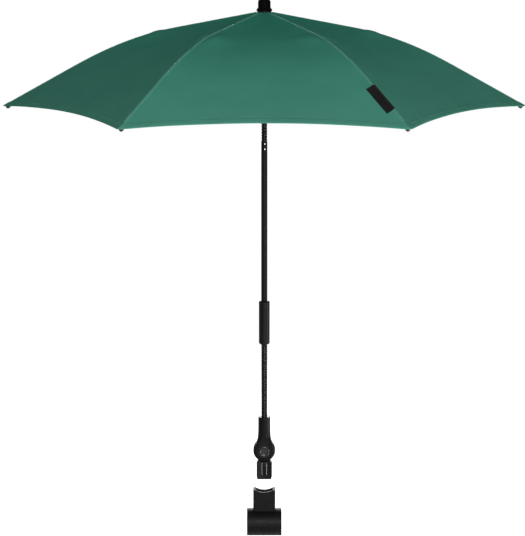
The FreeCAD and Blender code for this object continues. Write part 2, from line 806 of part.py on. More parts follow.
def rib(index):
    """Bent rod with a hinge eye in the crown, a rivet for its stretcher and a ball tip."""
    name = "rib_%d" % (index + 1)
    place = around(360 * index / RIBS)
    place.Base = UP * number(CROWN_HEIGHT)
    radius = number("rod_radius")
    spine = bowed_profile(0, number("crown_ring_radius + rod_start"), number(ROD_END))
    path = Part.Wire([edge_through(points) for points in spine])
    heading = path.Edges[0].tangentAt(path.Edges[0].FirstParameter)
    ring = Part.Wire([Part.makeCircle(radius, spine[0][0], heading)])
    bent = doc.addObject("Part::Feature", name + "_rod")
    bent.Shape = path.makePipeShell([ring], True, False)
    eye = cross_rod(name + "_eye", "hinge_eye_radius", "tab_thickness", "y", "0")
    move(eye, "crown_ring_radius", "-tab_thickness / 2", "0")
    tab = doc.addObject("Part::Box", name + "_tab")
    tilt = FreeCAD.Rotation(FreeCAD.Vector(0, 1, 0), number("rib_slope"))
    corner = FreeCAD.Vector(0, -number("tab_thickness") / 2, -radius)
    tab.Placement = FreeCAD.Placement(tilt.multVec(corner), tilt)
    tab.Placement.Base.x += number("crown_ring_radius")
    bind(tab, Length="2 * rod_start", Width="tab_thickness", Height="2 * rod_radius")
    bore = "hinge_hole_radius"
    hole = rod(name + "_hole", bore, "2 * tab_thickness", "y", "crown_ring_radius", "-tab_thickness")
    joint = bowed_profile(0, number("kink_radius"), number(ROD_END))[0][0]
    rivet_hole = rod(name + "_rivet_hole", "rivet_radius", "4 * rod_radius", "y", y="-2 * rod_radius")
    rivet = rod(name + "_rivet", "rivet_radius", "2 * rod_radius", "y", y="-rod_radius")
    for item in (rivet_hole, rivet):
        bind(item, Placement__Base__x="kink_radius")
        item.setExpression("Placement.Base.z", None)
        item.Placement.Base.z = joint.z
    solid = cut(name + "_bare", fuse(name + "_solid", bent, tab, eye), hole, rivet_hole)
    both = doc.addObject("Part::Compound", name + "_shape")
    both.Links = [solid, rivet]
    both.Placement = place
    keep(both, name)
    end = spine[-1][1]
    knob = turned(name + "_knob", [
        ("0", "tip_sleeve_length / 2"),
        ("rod_radius", "tip_sleeve_length / 2"),
        ("rod_radius", "0"),
        ("tip_sleeve_radius", "0"),
        ("tip_sleeve_radius", "tip_sleeve_length / 2"),
        ("tip_radius", "tip_sleeve_length / 2 + tip_radius / 2"),
        ("tip_radius", "tip_sleeve_length / 2 + tip_radius"),
        ("tip_radius / 2", "tip_sleeve_length / 2 + 2 * tip_radius"),
        ("0", "tip_sleeve_length / 2 + 2 * tip_radius"),
    ])
    outward = FreeCAD.Rotation(FreeCAD.Vector(0, 1, 0), 90 + number(FINAL_SLOPE))
    inside = outward.multVec(UP) * number("tip_sleeve_length / 2")
    knob.Placement = place.multiply(FreeCAD.Placement(end - inside, outward))
    keep(knob, "rib_tip_%d" % (index + 1))


RUNNER_BORE = "(mast_radius + runner_gap)"
JOINT_DROP = "((kink_radius - crown_ring_radius) * tan(rib_slope))"
STRETCH_RUN = "(kink_radius - runner_ring_radius)"
STRETCH_RISE = "(runner_depth - %s)" % JOINT_DROP
STRETCH_LENGTH = "sqrt(%s ^ 2 + %s ^ 2)" % (STRETCH_RUN, STRETCH_RISE)


def runner():
    """Slider that pushes the stretchers up, with its own slotted rim and hinge wire."""
    body = turned("runner_body", [
        (RUNNER_BORE, "0"),
        ("runner_radius", "0"),
        ("runner_radius", "runner_length - 2 * runner_flange"),
        ("runner_rim", "runner_length - 2 * runner_flange"),
        ("runner_rim", "runner_length - runner_flange + crown_above"),
        (RUNNER_BORE, "runner_length - runner_flange + crown_above"),
    ])
    move(body, z="%s - runner_length + runner_flange" % RUNNER_HEIGHT)
    slots = hinge_slots("runner", "runner_ring_radius", "runner_rim", RUNNER_HEIGHT)
    groove = wire_groove("runner", "runner_ring_radius", RUNNER_HEIGHT, "crown_above")
    keep(cut("runner_shape", body, slots, groove), "runner")
    hinge_wire("runner_wire", "runner_ring_radius", RUNNER_HEIGHT)


def stretcher(index):
    """Bar from the runner whose forked end straddles the rib at its rivet."""
    name = "stretcher_%d" % (index + 1)
    half = "(rod_radius + fit_clearance)"
    eye = rod(name + "_eye", "hinge_eye_radius", "tab_thickness", "y", y="-tab_thickness / 2")
    tab = doc.addObject("Part::Box", name + "_tab")
    tab_length = "runner_rim - runner_ring_radius + bar_width"
    bind(tab, Length=tab_length, Width="tab_thickness", Height="bar_height")
    move(tab, "0", "-tab_thickness / 2", "-bar_height / 2")
    bar = doc.addObject("Part::Box", name + "_bar")
    start = "(runner_rim - runner_ring_radius + hinge_eye_radius)"
    bar_length = "%s - prong_length - %s + bar_width" % (STRETCH_LENGTH, start)
    bind(bar, Length=bar_length, Width="bar_width", Height="bar_height")
    move(bar, start, "-bar_width / 2", "-bar_height / 2")
    fork = doc.addObject("Part::Box", name + "_fork")
    width = "2 * (%s + prong_thickness)" % half
    bind(fork, Length="prong_length", Width=width, Height="bar_height")
    move(fork, "%s - prong_length" % STRETCH_LENGTH, "-(%s) / 2" % width, "-bar_height / 2")
    end = rod(name + "_end", "bar_height / 2", width, "y", STRETCH_LENGTH, "-(%s) / 2" % width)
    gap = doc.addObject("Part::Box", name + "_gap")
    bind(gap, Length="prong_length", Width="2 * %s" % half, Height="4 * bar_height")
    move(gap, "%s - prong_length + bar_width" % STRETCH_LENGTH, "-%s" % half, "-2 * bar_height")
    hole = rod(name + "_hole", "hinge_hole_radius", "2 * tab_thickness", "y", y="-tab_thickness")
    item = cut(name + "_shape", fuse(name + "_solid", eye, tab, bar, fork, end), gap, hole)
    rise = math.degrees(math.atan2(number(STRETCH_RISE), number(STRETCH_RUN)))
    lean = FreeCAD.Rotation(FreeCAD.Vector(0, 1, 0), -rise)
    root = FreeCAD.Vector(number("runner_ring_radius"), 0, number(RUNNER_HEIGHT))
    item.Placement = around(360 * index / RIBS).multiply(FreeCAD.Placement(root, lean))
    keep(item, name)


HEM_RADIUS = "(canopy_radius - hem_inset)"


def cloth_section(turn, across):
    """Closed strip of cloth in a plane through the mast, drawn in towards the middle of a panel."""
    lift = number("rod_radius + cloth_gap + cloth_thickness")
    upper = bowed_profile(lift, number("cloth_inner"), number(HEM_RADIUS))
    sink = UP * number("cloth_thickness")
    turning = FreeCAD.Rotation(UP, turn)

    def placed(point):
        return turning.multVec(FreeCAD.Vector(point.x * across, 0, point.z))

    top = [[placed(point) for point in points] for points in upper]
    bottom = [[point - sink for point in reversed(points)] for points in reversed(top)]
    outer = [top[-1][-1], bottom[0][0]]
    inner = [bottom[-1][-1], top[0][0]]
    return Part.Wire([edge_through(points) for points in top + [outer] + bottom + [inner]])


def canopy_panel(index):
    """Cloth from the middle of one gore over a rib to the middle of the next, with a hollowed hem."""
    name = "canopy_panel_%d" % (index + 1)
    half = 180 / RIBS
    side = half - number("panel_gap_angle")
    cloth = doc.addObject("Part::Feature", name + "_cloth")
    sections = [cloth_section(turn, draw) for turn, draw in (
        (-side, GORE_DRAW),
        (0, 1),
        (side, GORE_DRAW),
    )]
    cloth.Shape = Part.makeLoft(sections, True, True)
    chord = "(%s * %r)" % (HEM_RADIUS, math.sin(math.radians(half)))
    hem = "((%s ^ 2 + hem_sag ^ 2) / (2 * hem_sag))" % chord
    tools = []
    for sign in (-1, 1):
        tool = rod("%s_hem_%d" % (name, sign + 2), hem, "2 * canopy_radius")
        away = number(HEM_RADIUS) * GORE_DRAW - number("hem_sag") + number(hem)
        centre = FreeCAD.Rotation(UP, sign * half).multVec(FreeCAD.Vector(away, 0, 0))
        for axis in ("x", "y", "z"):
            tool.setExpression("Placement.Base.%s" % axis, None)
        tool.Placement.Base = centre - UP * number("canopy_radius")
        tools.append(tool)
    item = cut(name + "_shape", cloth, *tools)
    item.Placement = around(360 * index / RIBS)
    item.Placement.Base = UP * number(CROWN_HEIGHT)
    keep(item, name)


frame_clip()
clip_liner()
tongue()
pivot_head()
pivot_fittings()
lower_neck()
sleeve()
mast()
upper_neck()
shaft()
crown()
top_cap()
runner()
for number_of_rib in range(RIBS):
    rib(number_of_rib)
    stretcher(number_of_rib)
    canopy_panel(number_of_rib)

doc.recompute()

# Every object must be sound before anything is written
for item in doc.Objects:
    if "Invalid" in item.State or "Error" in item.State:
        raise RuntimeError("failed object: %s %s" % (item.Label, item.State))
for item in nodes:
    if item.Shape.isNull() or not item.Shape.isValid():
        raise RuntimeError("bad shape: %s" % item.Label)

os.makedirs("parts", exist_ok=True)
for item in nodes:
    item.Shape.exportStep("parts/%s.step" % item.Label)
    box = item.Shape.BoundBox
    print("%-20s %d solid(s) %.1f mm3 z %.1f to %.1f" % (
        item.Label, len(item.Shape.Solids), item.Shape.Volume, box.ZMin, box.ZMax))
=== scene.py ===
"""Pram parasol: the looks of its canopy, mast, necks, tilting head and clip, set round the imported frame."""

import json
import math

import bmesh
import bpy
import numpy as np
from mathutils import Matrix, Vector


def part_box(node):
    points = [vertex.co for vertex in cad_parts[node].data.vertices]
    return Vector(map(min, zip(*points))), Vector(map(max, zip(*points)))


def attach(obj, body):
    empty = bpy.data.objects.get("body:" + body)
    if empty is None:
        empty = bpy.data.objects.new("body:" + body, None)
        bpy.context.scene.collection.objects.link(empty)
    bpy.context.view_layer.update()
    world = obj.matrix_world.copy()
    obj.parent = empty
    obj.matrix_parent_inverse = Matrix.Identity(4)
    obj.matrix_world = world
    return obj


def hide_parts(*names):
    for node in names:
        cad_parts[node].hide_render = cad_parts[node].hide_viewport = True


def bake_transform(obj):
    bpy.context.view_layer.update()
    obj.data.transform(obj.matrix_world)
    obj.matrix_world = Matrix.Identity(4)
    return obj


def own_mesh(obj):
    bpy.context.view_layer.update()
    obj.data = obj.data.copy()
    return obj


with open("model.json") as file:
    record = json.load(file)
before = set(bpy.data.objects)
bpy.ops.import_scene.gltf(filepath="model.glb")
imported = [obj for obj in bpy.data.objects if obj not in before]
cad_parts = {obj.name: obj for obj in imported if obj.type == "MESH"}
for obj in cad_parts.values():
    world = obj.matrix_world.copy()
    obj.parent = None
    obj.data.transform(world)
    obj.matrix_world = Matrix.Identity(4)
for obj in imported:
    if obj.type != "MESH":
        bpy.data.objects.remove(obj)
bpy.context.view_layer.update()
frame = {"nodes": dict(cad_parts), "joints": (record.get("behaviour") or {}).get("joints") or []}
NODES = frame["nodes"]
JOINT = {j["name"]: j for j in frame["joints"]}
MM = 0.001
RIBS = 6


# Materials

# Values between which the noise mostly lies
NOISE_LOW, NOISE_HIGH = 0.3, 0.7
# Pointiness over which an outer edge turns to its rubbed colour, and how much lighter that is
EDGE_LOW, EDGE_HIGH = 0.53, 0.62
RUBBED = 3.2


def shader(name, base, rough, metal=0.0):
    """New material with its principled shader's plain values set."""
    mat = bpy.data.materials.new(name)
    mat.use_nodes = True
    tree = mat.node_tree
    bsdf = tree.nodes["Principled BSDF"]
    bsdf.inputs["Base Color"].default_value = (*base, 1.0)
    bsdf.inputs["Roughness"].default_value = rough
    bsdf.inputs["Metallic"].default_value = metal
    return mat, tree, bsdf


def add(tree, kind, **values):
    """New node with some of its inputs set."""
    node = tree.nodes.new(kind)
    for key, value in values.items():
        node.inputs[key.replace("_", " ")].default_value = value
    return node


def math_node(tree, operation, first, second):
    """Sum, product or the like of two values, each a socket or a number."""
    node = tree.nodes.new("ShaderNodeMath")
    node.operation = operation
    for socket, value in zip(node.inputs, (first, second)):
        if isinstance(value, float):
            socket.default_value = value
        else:
            tree.links.new(value, socket)
    return node.outputs[0]


def noise(tree, coords, scale, detail, stretch=None):
    """Noise over coordinates in metres, drawn out where a stretch is given."""
    node = add(tree, "ShaderNodeTexNoise", Scale=scale, Detail=detail, Roughness=0.6)
    if stretch:
        mapping = add(tree, "ShaderNodeMapping", Scale=stretch)
        tree.links.new(coords, mapping.inputs["Vector"])
        coords = mapping.outputs["Vector"]
    tree.links.new(coords, node.inputs["Vector"])
    return node.outputs["Fac"]


def ramp(tree, value, low, high):
    """Colour that runs from low to high with a noise."""
    node = tree.nodes.new("ShaderNodeValToRGB")
    stops = node.color_ramp.elements
    stops[0].position, stops[1].position = NOISE_LOW, NOISE_HIGH
    stops[0].color, stops[1].color = (*low, 1.0), (*high, 1.0)
    tree.links.new(value, node.inputs["Fac"])
    return node.outputs["Color"]


def span(tree, value, low, high, start=NOISE_LOW, end=NOISE_HIGH):
    """Number that runs from low to high as a value goes from start to end."""
    node = add(tree, "ShaderNodeMapRange", From_Min=start, From_Max=end, To_Min=low, To_Max=high)
    tree.links.new(value, node.inputs["Value"])
    return node.outputs["Result"]


def mixed(tree, factor, first, second, blend="MIX"):
    """Mix of two colours, by a socket or a number."""
    node = tree.nodes.new("ShaderNodeMix")
    node.data_type = "RGBA"
    node.blend_type = blend
    if isinstance(factor, float):
        node.inputs[0].default_value = factor
    else:
        tree.links.new(factor, node.inputs[0])
    for socket, value in ((node.inputs[6], first), (node.inputs[7], second)):
        if isinstance(value, tuple):
            socket.default_value = (*value, 1.0)
        else:
            tree.links.new(value, socket)
    return node.outputs[2]


def relief(tree, bsdf, height, distance, strength, after=None):
    """Bump on a shader from a height."""
    node = add(tree, "ShaderNodeBump", Strength=strength, Distance=distance)
    tree.links.new(height, node.inputs["Height"])
    if after is not None:
        tree.links.new(after, node.inputs["Normal"])
    tree.links.new(node.outputs["Normal"], bsdf.inputs["Normal"])
    return node.outputs["Normal"]


def worn_edges(tree, base, worn):
    """Colour that lightens along outer edges."""
    geometry = tree.nodes.new("ShaderNodeNewGeometry")
    edge = span(tree, geometry.outputs["Pointiness"], low=0.0, high=1.0, start=EDGE_LOW, end=EDGE_HIGH)
    return mixed(tree, edge, base, worn)


def moulded_plastic(name, low, high, rough, gloss, grain=2200.0):
    """Moulded plastic with a fine spark-eroded grain, uneven sheen and rubbed edges."""
    mat, tree, bsdf = shader(name, low, rough)
    coords = tree.nodes.new("ShaderNodeTexCoord").outputs["Object"]
    cloud = noise(tree, coords, scale=90.0, detail=4.0)
    fine = noise(tree, coords, scale=grain, detail=2.0)
    rubbed = tuple(RUBBED * c for c in high)
    tree.links.new(worn_edges(tree, ramp(tree, cloud, low, high), rubbed), bsdf.inputs["Base Color"])
    tree.links.new(span(tree, cloud, low=rough - 0.05, high=rough + 0.07), bsdf.inputs["Roughness"])
    bsdf.inputs["Specular IOR Level"].default_value = gloss
    relief(tree, bsdf, fine, distance=0.08 * MM, strength=0.5)
    return mat


def drawn_metal(name, low, high, rough, metal, along=6.0, across=700.0, gloss=0.32, edge=1.0):
    """Metal or painted tube with faint lines along Z, and a metal's own tint at grazing angles."""
    mat, tree, bsdf = shader(name, low, rough, metal)
    coords = tree.nodes.new("ShaderNodeTexCoord").outputs["Object"]
    lines = noise(tree, coords, scale=1.0, detail=3.0, stretch=(across, across, along))
    cloud = noise(tree, coords, scale=60.0, detail=3.0)
    tree.links.new(ramp(tree, lines, low, high), bsdf.inputs["Base Color"])
    tree.links.new(span(tree, cloud, low=rough - 0.05, high=rough + 0.08), bsdf.inputs["Roughness"])
    bsdf.inputs["Specular IOR Level"].default_value = gloss
    bsdf.inputs["Specular Tint"].default_value = (edge, edge, edge, 1.0)
    relief(tree, bsdf, lines, distance=0.04 * MM, strength=0.4)
    return mat


def cloth_material(name, dark, light, grain, rough, gloss, sheen, sheen_tint, hem=None):
    """Plain weave from two crossed sets of threads, over coordinates in metres kept in the mesh.

    The threads repeat after pi times the grain. With two hem colours, the cloth turns to them on its way
    from the crown to the hem, a painted lightening that stands in for light."""
    mat, tree, bsdf = shader(name, dark, rough)
    bsdf.inputs["Sheen Weight"].default_value = sheen
    bsdf.inputs["Sheen Roughness"].default_value = 0.45
    bsdf.inputs["Sheen Tint"].default_value = (*sheen_tint, 1.0)
    bsdf.inputs["Specular IOR Level"].default_value = gloss
    uv = tree.nodes.new("ShaderNodeUVMap")
    uv.uv_map = "weave"
    coords = uv.outputs["UV"]
    threads = []
    for direction in ("X", "Y"):
        wave = add(tree, "ShaderNodeTexWave", Scale=0.1 / grain, Distortion=0.6, Detail=1.0)
        wave.bands_direction = direction
        tree.links.new(coords, wave.inputs["Vector"])
        threads.append(wave.outputs["Fac"])
    weave = math_node(tree, "MULTIPLY", *threads)
    cloud = noise(tree, coords, scale=14.0, detail=4.0)
    slub = noise(tree, coords, scale=1.0, detail=2.0, stretch=(900.0, 40.0, 1.0))
    tone = ramp(tree, cloud, dark, light)
    # Painted light: with hem colours given, the cloth turns lighter and greyer towards the hem
    if hem:
        split = tree.nodes.new("ShaderNodeSeparateXYZ")
        tree.links.new(coords, split.inputs["Vector"])
        outward = span(tree, split.outputs["Y"], low=0.0, high=1.0, start=0.09, end=0.4)
        tone = mixed(tree, outward, tone, ramp(tree, cloud, *hem))
    bright = mixed(tree, weave, (0.92, 0.92, 0.92), (1.1, 1.1, 1.1))
    tree.links.new(mixed(tree, 1.0, tone, bright, "MULTIPLY"), bsdf.inputs["Base Color"])
    tree.links.new(span(tree, slub, low=rough - 0.06, high=rough + 0.06), bsdf.inputs["Roughness"])
    woven = relief(tree, bsdf, weave, distance=0.12 * MM, strength=0.35)
    relief(tree, bsdf, cloud, distance=1.5 * MM, strength=0.1, after=woven)
    return mat


BLACK = moulded_plastic(
    "black_plastic", low=(0.0016, 0.0016, 0.0018), high=(0.0028, 0.0028, 0.003), rough=0.33, gloss=0.045)
SLEEVE = moulded_plastic(
    "sleeve_plastic", low=(0.0022, 0.0022, 0.0024), high=(0.0036, 0.0036, 0.0038), rough=0.36, gloss=0.05)
CLIP = moulded_plastic(
    "clip_plastic", low=(0.0016, 0.0016, 0.0018), high=(0.0028, 0.0028, 0.003), rough=0.47, gloss=0.05)
CAP = moulded_plastic(
    "cap_plastic", low=(0.001, 0.001, 0.0011), high=(0.0016, 0.0016, 0.0017), rough=0.55, gloss=0.01)
BUTTON = moulded_plastic(
    "button_plastic", low=(0.002, 0.002, 0.0022), high=(0.0032, 0.0032, 0.0034), rough=0.18, gloss=0.25,
    grain=1500.0)
# Light grey for the key's rails: partly wear, partly a painted highlight along them
RAIL_WEAR_AND_HIGHLIGHT = moulded_plastic(
    "rubbed_plastic_and_painted_highlight", low=(0.15, 0.15, 0.15), high=(0.22, 0.22, 0.22), rough=0.3, gloss=0.5, grain=900.0)
RUBBER = moulded_plastic(
    "liner_rubber", low=(0.01, 0.01, 0.01), high=(0.016, 0.016, 0.0155), rough=0.74, gloss=0.3, grain=1100.0)
TUBE = drawn_metal(
    "black_tube", low=(0.002, 0.002, 0.0022), high=(0.004, 0.004, 0.0042), rough=0.42, metal=0.0, gloss=0.04)
NECK = drawn_metal(
    "neck_wire", low=(0.01, 0.01, 0.0105), high=(0.018, 0.018, 0.0185), rough=0.13, metal=1.0,
    along=300.0, across=900.0, edge=0.35)
STEEL = drawn_metal(
    "drawn_steel", low=(0.42, 0.42, 0.43), high=(0.6, 0.6, 0.61), rough=0.3, metal=1.0)
BAR = drawn_metal(
    "dark_steel", low=(0.05, 0.05, 0.052), high=(0.09, 0.09, 0.092), rough=0.42, metal=0.8)
RIB = drawn_metal(
    "rib_coating", low=(0.012, 0.012, 0.0125), high=(0.024, 0.024, 0.025), rough=0.34, metal=0.2)
# Green cloth whose colours also hold painted sheen, a whitish lift standing in for gloss it lacks, and whose
# lighter hem colours are painted light
CLOTH = cloth_material(
    "green_cloth", dark=(0.0165, 0.122, 0.085), light=(0.021, 0.136, 0.096), grain=0.55 * MM,
    rough=0.66, gloss=0.0, sheen=0.02, sheen_tint=(0.35, 0.8, 0.65),
    hem=((0.038, 0.152, 0.113), (0.045, 0.169, 0.126)))
# Seam thread lighter than the cloth: partly its own colour, partly a painted highlight along the raised seam
THREAD = cloth_material(
    "green_thread_and_painted_highlight", dark=(0.1, 0.255, 0.205), light=(0.135, 0.3, 0.245), grain=0.4 * MM,
    rough=0.55, gloss=0.06, sheen=0.2, sheen_tint=(0.8, 1.0, 0.9))
# Hem thread in the same colours as the cloth's painted lighter hem, so it carries the same painted light
HEM_THREAD = cloth_material(
    "hem_thread", dark=(0.04, 0.16, 0.119), light=(0.048, 0.178, 0.133), grain=0.4 * MM,
    rough=0.55, gloss=0.06, sheen=0.05, sheen_tint=(0.5, 0.9, 0.8))
LABEL = cloth_material(
    "label_satin", dark=(0.003, 0.0032, 0.0034), light=(0.006, 0.0064, 0.0066), grain=0.3 * MM,
    rough=0.6, gloss=0.02, sheen=0.02, sheen_tint=(0.5, 0.5, 0.5))


# Mesh helpers

# A profile's point this near its axis, in millimetres, closes the turned body
ON_AXIS = 1e-6


def mesh_object(name, verts, faces, material, uv=None):
    """Smooth mesh object from points and faces, with flat coordinates where they are given."""
    mesh = bpy.data.meshes.new(name)
    mesh.from_pydata([tuple(v) for v in verts], [], [tuple(f) for f in faces])
    mesh.update()
    if uv is not None:
        layer = mesh.uv_layers.new(name="weave")
        index = np.zeros(len(mesh.loops), int)
        mesh.loops.foreach_get("vertex_index", index)
        layer.data.foreach_set("uv", np.asarray(uv, float)[index].ravel())
    mesh.polygons.foreach_set("use_smooth", np.ones(len(mesh.polygons), bool))
    mesh.materials.append(material)
    obj = bpy.data.objects.new(name, mesh)
    bpy.context.scene.collection.objects.link(obj)
    return obj


def grid_faces(rows, columns, start=0, flip=False):
    """Faces of a grid of points."""
    faces = []
    for i in range(rows - 1):
        for j in range(columns - 1):
            a = start + i * columns + j
            face = (a, a + 1, a + columns + 1, a + columns)
            faces.append(face[::-1] if flip else face)
    return faces


def rim_faces(rows, columns):
    """Faces round the edge between a grid of points and a second one that follows it."""
    size = rows * columns
    border = list(range(columns)) + [i * columns + columns - 1 for i in range(1, rows)]
    border += [(rows - 1) * columns + j for j in range(columns - 2, -1, -1)]
    border += [i * columns for i in range(rows - 2, 0, -1)]
    return [(b, a, a + size, b + size) for a, b in zip(border, border[1:] + border[:1])]


def sheet_faces(rows, columns):
    """Faces of a thin closed sheet: an upper grid of points, a lower one after it, and their rim."""
    lower = grid_faces(rows, columns, rows * columns, True)
    return grid_faces(rows, columns) + lower + rim_faces(rows, columns)


def ring_faces(rings, sides, start=0):
    """Faces between closed rings of points."""
    faces = []
    for i in range(rings - 1):
        for j in range(sides):
            a = start + i * sides + j
            b = start + i * sides + (j + 1) % sides
            faces.append((a, b, b + sides, a + sides))
    return faces


def rounded(profile, amount, steps):
    """Profile of radii and heights with its corners rounded off."""
    points = [np.array(p, float) for p in profile]
    out = [points[0]]
    for before, here, after in zip(points, points[1:], points[2:]):
        back, ahead = before - here, after - here
        back_run, ahead_run = np.linalg.norm(back), np.linalg.norm(ahead)
        reach = min(amount, 0.45 * back_run, 0.45 * ahead_run)
        first = here + back / back_run * reach
        last = here + ahead / ahead_run * reach
        for k in range(steps + 1):
            t = k / steps
            out.append((1 - t) ** 2 * first + 2 * t * (1 - t) * here + t ** 2 * last)
    out.append(points[-1])
    return out


def smooth_by_angle(obj, degrees):
    """Smooth shading that keeps edges sharper than an angle."""
    obj.data.set_sharp_from_angle(angle=math.radians(degrees))


def lathe(name, profile, material, base, sides, axis=(0, 0, 1)):
    """Body turned about an axis from a profile in millimetres, closed at both ends on the axis."""
    turn = Vector((0, 0, 1)).rotation_difference(Vector(axis).normalized()).to_matrix()
    verts = []
    rings = [p for p in profile if p[0] > ON_AXIS]
    for radius, height in rings:
        for k in range(sides):
            angle = 2 * math.pi * k / sides
            local = Vector((radius * math.cos(angle), radius * math.sin(angle), height)) * MM
            verts.append(Vector(base) + turn @ local)
    faces = ring_faces(len(rings), sides)
    for end, ring in ((profile[0], 0), (profile[-1], len(rings) - 1)):
        if end[0] <= ON_AXIS:
            verts.append(Vector(base) + turn @ Vector((0, 0, end[1] * MM)))
            tip = len(verts) - 1
            for k in range(sides):
                pair = (ring * sides + k, ring * sides + (k + 1) % sides)
                faces.append((tip, pair[1], pair[0]) if ring == 0 else (tip, *pair))
    obj = mesh_object(name, verts, faces, material)
    smooth_by_angle(obj, degrees=40)
    return obj


def bake(obj):
    """Replace an object's mesh by what its modifiers make of it."""
    graph = bpy.context.evaluated_depsgraph_get()
    made = bpy.data.meshes.new_from_object(obj.evaluated_get(graph), depsgraph=graph)
    obj.modifiers.clear()
    obj.data = made


def even_normals(obj):
    """Smooth shading that keeps wide flat faces flat."""
    obj.data.polygons.foreach_set("use_smooth", np.ones(len(obj.data.polygons), bool))
    smooth_by_angle(obj, degrees=32)
    change = obj.modifiers.new("normals", "WEIGHTED_NORMAL")
    change.weight = 100
    change.keep_sharp = True
    bake(obj)


def box_cutter(name, low, high):
    """Box between two corners, to cut with, in millimetres."""
    made = bmesh.new()
    bmesh.ops.create_cube(made, size=1.0)
    for vert in made.verts:
        vert.co = [(a + (b - a) * (c + 0.5)) * MM for a, b, c in zip(low, high, vert.co)]
    return linked(name, made)


def round_cutter(name, low, high, radius, height):
    """Cylinder along Y at a height, to cut with, in millimetres."""
    made = bmesh.new()
    bmesh.ops.create_cone(
        made, cap_ends=True, segments=96, radius1=radius * MM, radius2=radius * MM, depth=(high - low) * MM)
    for vert in made.verts:
        x, y, z = vert.co
        vert.co = (x, z + (low + high) / 2 * MM, y + height * MM)
    bmesh.ops.recalc_face_normals(made, faces=made.faces)
    return linked(name, made)


def linked(name, made):
    """Object in the scene from an edited mesh."""
    mesh = bpy.data.meshes.new(name)
    made.to_mesh(mesh)
    made.free()
    obj = bpy.data.objects.new(name, mesh)
    bpy.context.scene.collection.objects.link(obj)
    return obj


def carve(obj, tools, operation="DIFFERENCE"):
    """Cut shapes away from an object for good, or join them to it."""
    for tool in tools:
        change = obj.modifiers.new("cut", "BOOLEAN")
        change.operation = operation
        change.solver = "EXACT"
        change.object = tool
        bake(obj)
        bpy.data.objects.remove(tool)
    return obj


def softened(node, body, material, width, tools=()):
    """Copy of a CAD node, cut where tools are given, with its edges rounded, which stands for it."""
    mesh = NODES[node].data.copy()
    made = bmesh.new()
    made.from_mesh(mesh)
    bmesh.ops.remove_doubles(made, verts=made.verts, dist=0.002 * MM)
    bmesh.ops.dissolve_limit(made, angle_limit=math.radians(0.6), verts=made.verts, edges=made.edges)
    made.to_mesh(mesh)
    made.free()
    obj = bpy.data.objects.new("soft_" + node, mesh)
    bpy.context.scene.collection.objects.link(obj)
    mesh.materials.clear()
    mesh.materials.append(material)
    carve(obj, tools)
    bevel = obj.modifiers.new("round", "BEVEL")
    bevel.width = width * MM
    bevel.segments = 3
    bevel.limit_method = "ANGLE"
    bevel.angle_limit = math.radians(28)
    bevel.use_clamp_overlap = True
    bevel.miter_outer = "MITER_ARC"
    bake(obj)
    even_normals(obj)
    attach(obj, body)
    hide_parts(node)


def finish_node(node, material):
    """Give a CAD node that stays its material and smooth shading."""
    obj = NODES[node]
    obj.data.materials.clear()
    obj.data.materials.append(material)
    obj.data.polygons.foreach_set("use_smooth", np.ones(len(obj.data.polygons), bool))
    smooth_by_angle(obj, degrees=35)


# Canopy: one taut cover over six ribs, sewn along them. Its sizes are in millimetres.

CROWN = JOINT["rib_1_fold"]["pos_m"][2] / MM
RING = JOINT["rib_1_fold"]["pos_m"][0] / MM
FOLD = math.radians(JOINT["rib_1_fold"]["range_deg"][1])
# The cloth's edge at the crown and its hem, as rib radii, and how far the hem is hollowed between two ribs
INNER = 11.6
HEM = 361.0
HOLLOW = 10.6
# The cloth's outer face over the rib's middle line, and how far it spreads a bend of that line each way
LIFT = 3.0
SPREAD = 22.0
# The rib's slopes at the crown, past its kink and at its tip, the kink's place, the radii of bend and bow,
# and how far the line runs on past both
RIB_SLOPES = [math.radians(a) for a in (10.65, 15.0, 29.0)]
KINK_RADIUS = 142.0
BEND_RADIUS = 100.0
BOW_RADIUS = 470.0
OVERRUN = 160.0
# Angle from a rib to the middle of a gore, and the share of the radius by which that lies further in
GORE_HALF = math.radians(180 / RIBS)
COS_HALF = math.cos(GORE_HALF)
MIDDLE_IN = 1 - COS_HALF ** 2
# Share of a petal's width that is left when the ribs are folded
KEEP = 0.19
# Rounding of the cloth over the rib, and its sag between the ribs
SEAM_ROUND = 2.0
SAG = 4.2
SAG_SKEW = 0.85
# Ripples near the hem and the crown: height, waves, shift, and the shares of the rib over which they change
HEM_RIPPLE, HEM_WAVES, HEM_SHIFT, HEM_SPAN = 0.5, 7.0, 0.6, (0.55, 1.0)
CROWN_RIPPLE, CROWN_WAVES, CROWN_SPAN = 0.35, 9.0, (0.05, 0.35)
# Rise of the cloth beside the pivot of rib and stretcher: height, inner and outer half width, place, length
BUMP = 4.5
BUMP_INSIDE = 6.0
BUMP_OUTSIDE = 24.0
BUMP_RADIUS = KINK_RADIUS + 11.0
BUMP_LENGTH = 17.0
# Rib radii between which the folded flap between two gores grows and ends, and its widest share
FLAP_GROWS = (13, 25)
FLAP_ENDS = (185, 235)
FLAP_SHARE = 0.96
# Steps of the cloth's face: raised seam, turned hem, rolled edge and tuck under the next gore, each with
# the distances over which it comes, and the cloth's thickness
SEAM_RISE, SEAM_EDGE = 0.5, (1.9, 2.6)
HEM_RISE, HEM_EDGE = 0.38, (8.8, 9.5)
ROLL, ROLL_EDGE = 0.45, (0.0, 0.9)
TUCK, TUCK_EDGE = 0.85, (0.0, 0.25)
THICK = 0.5


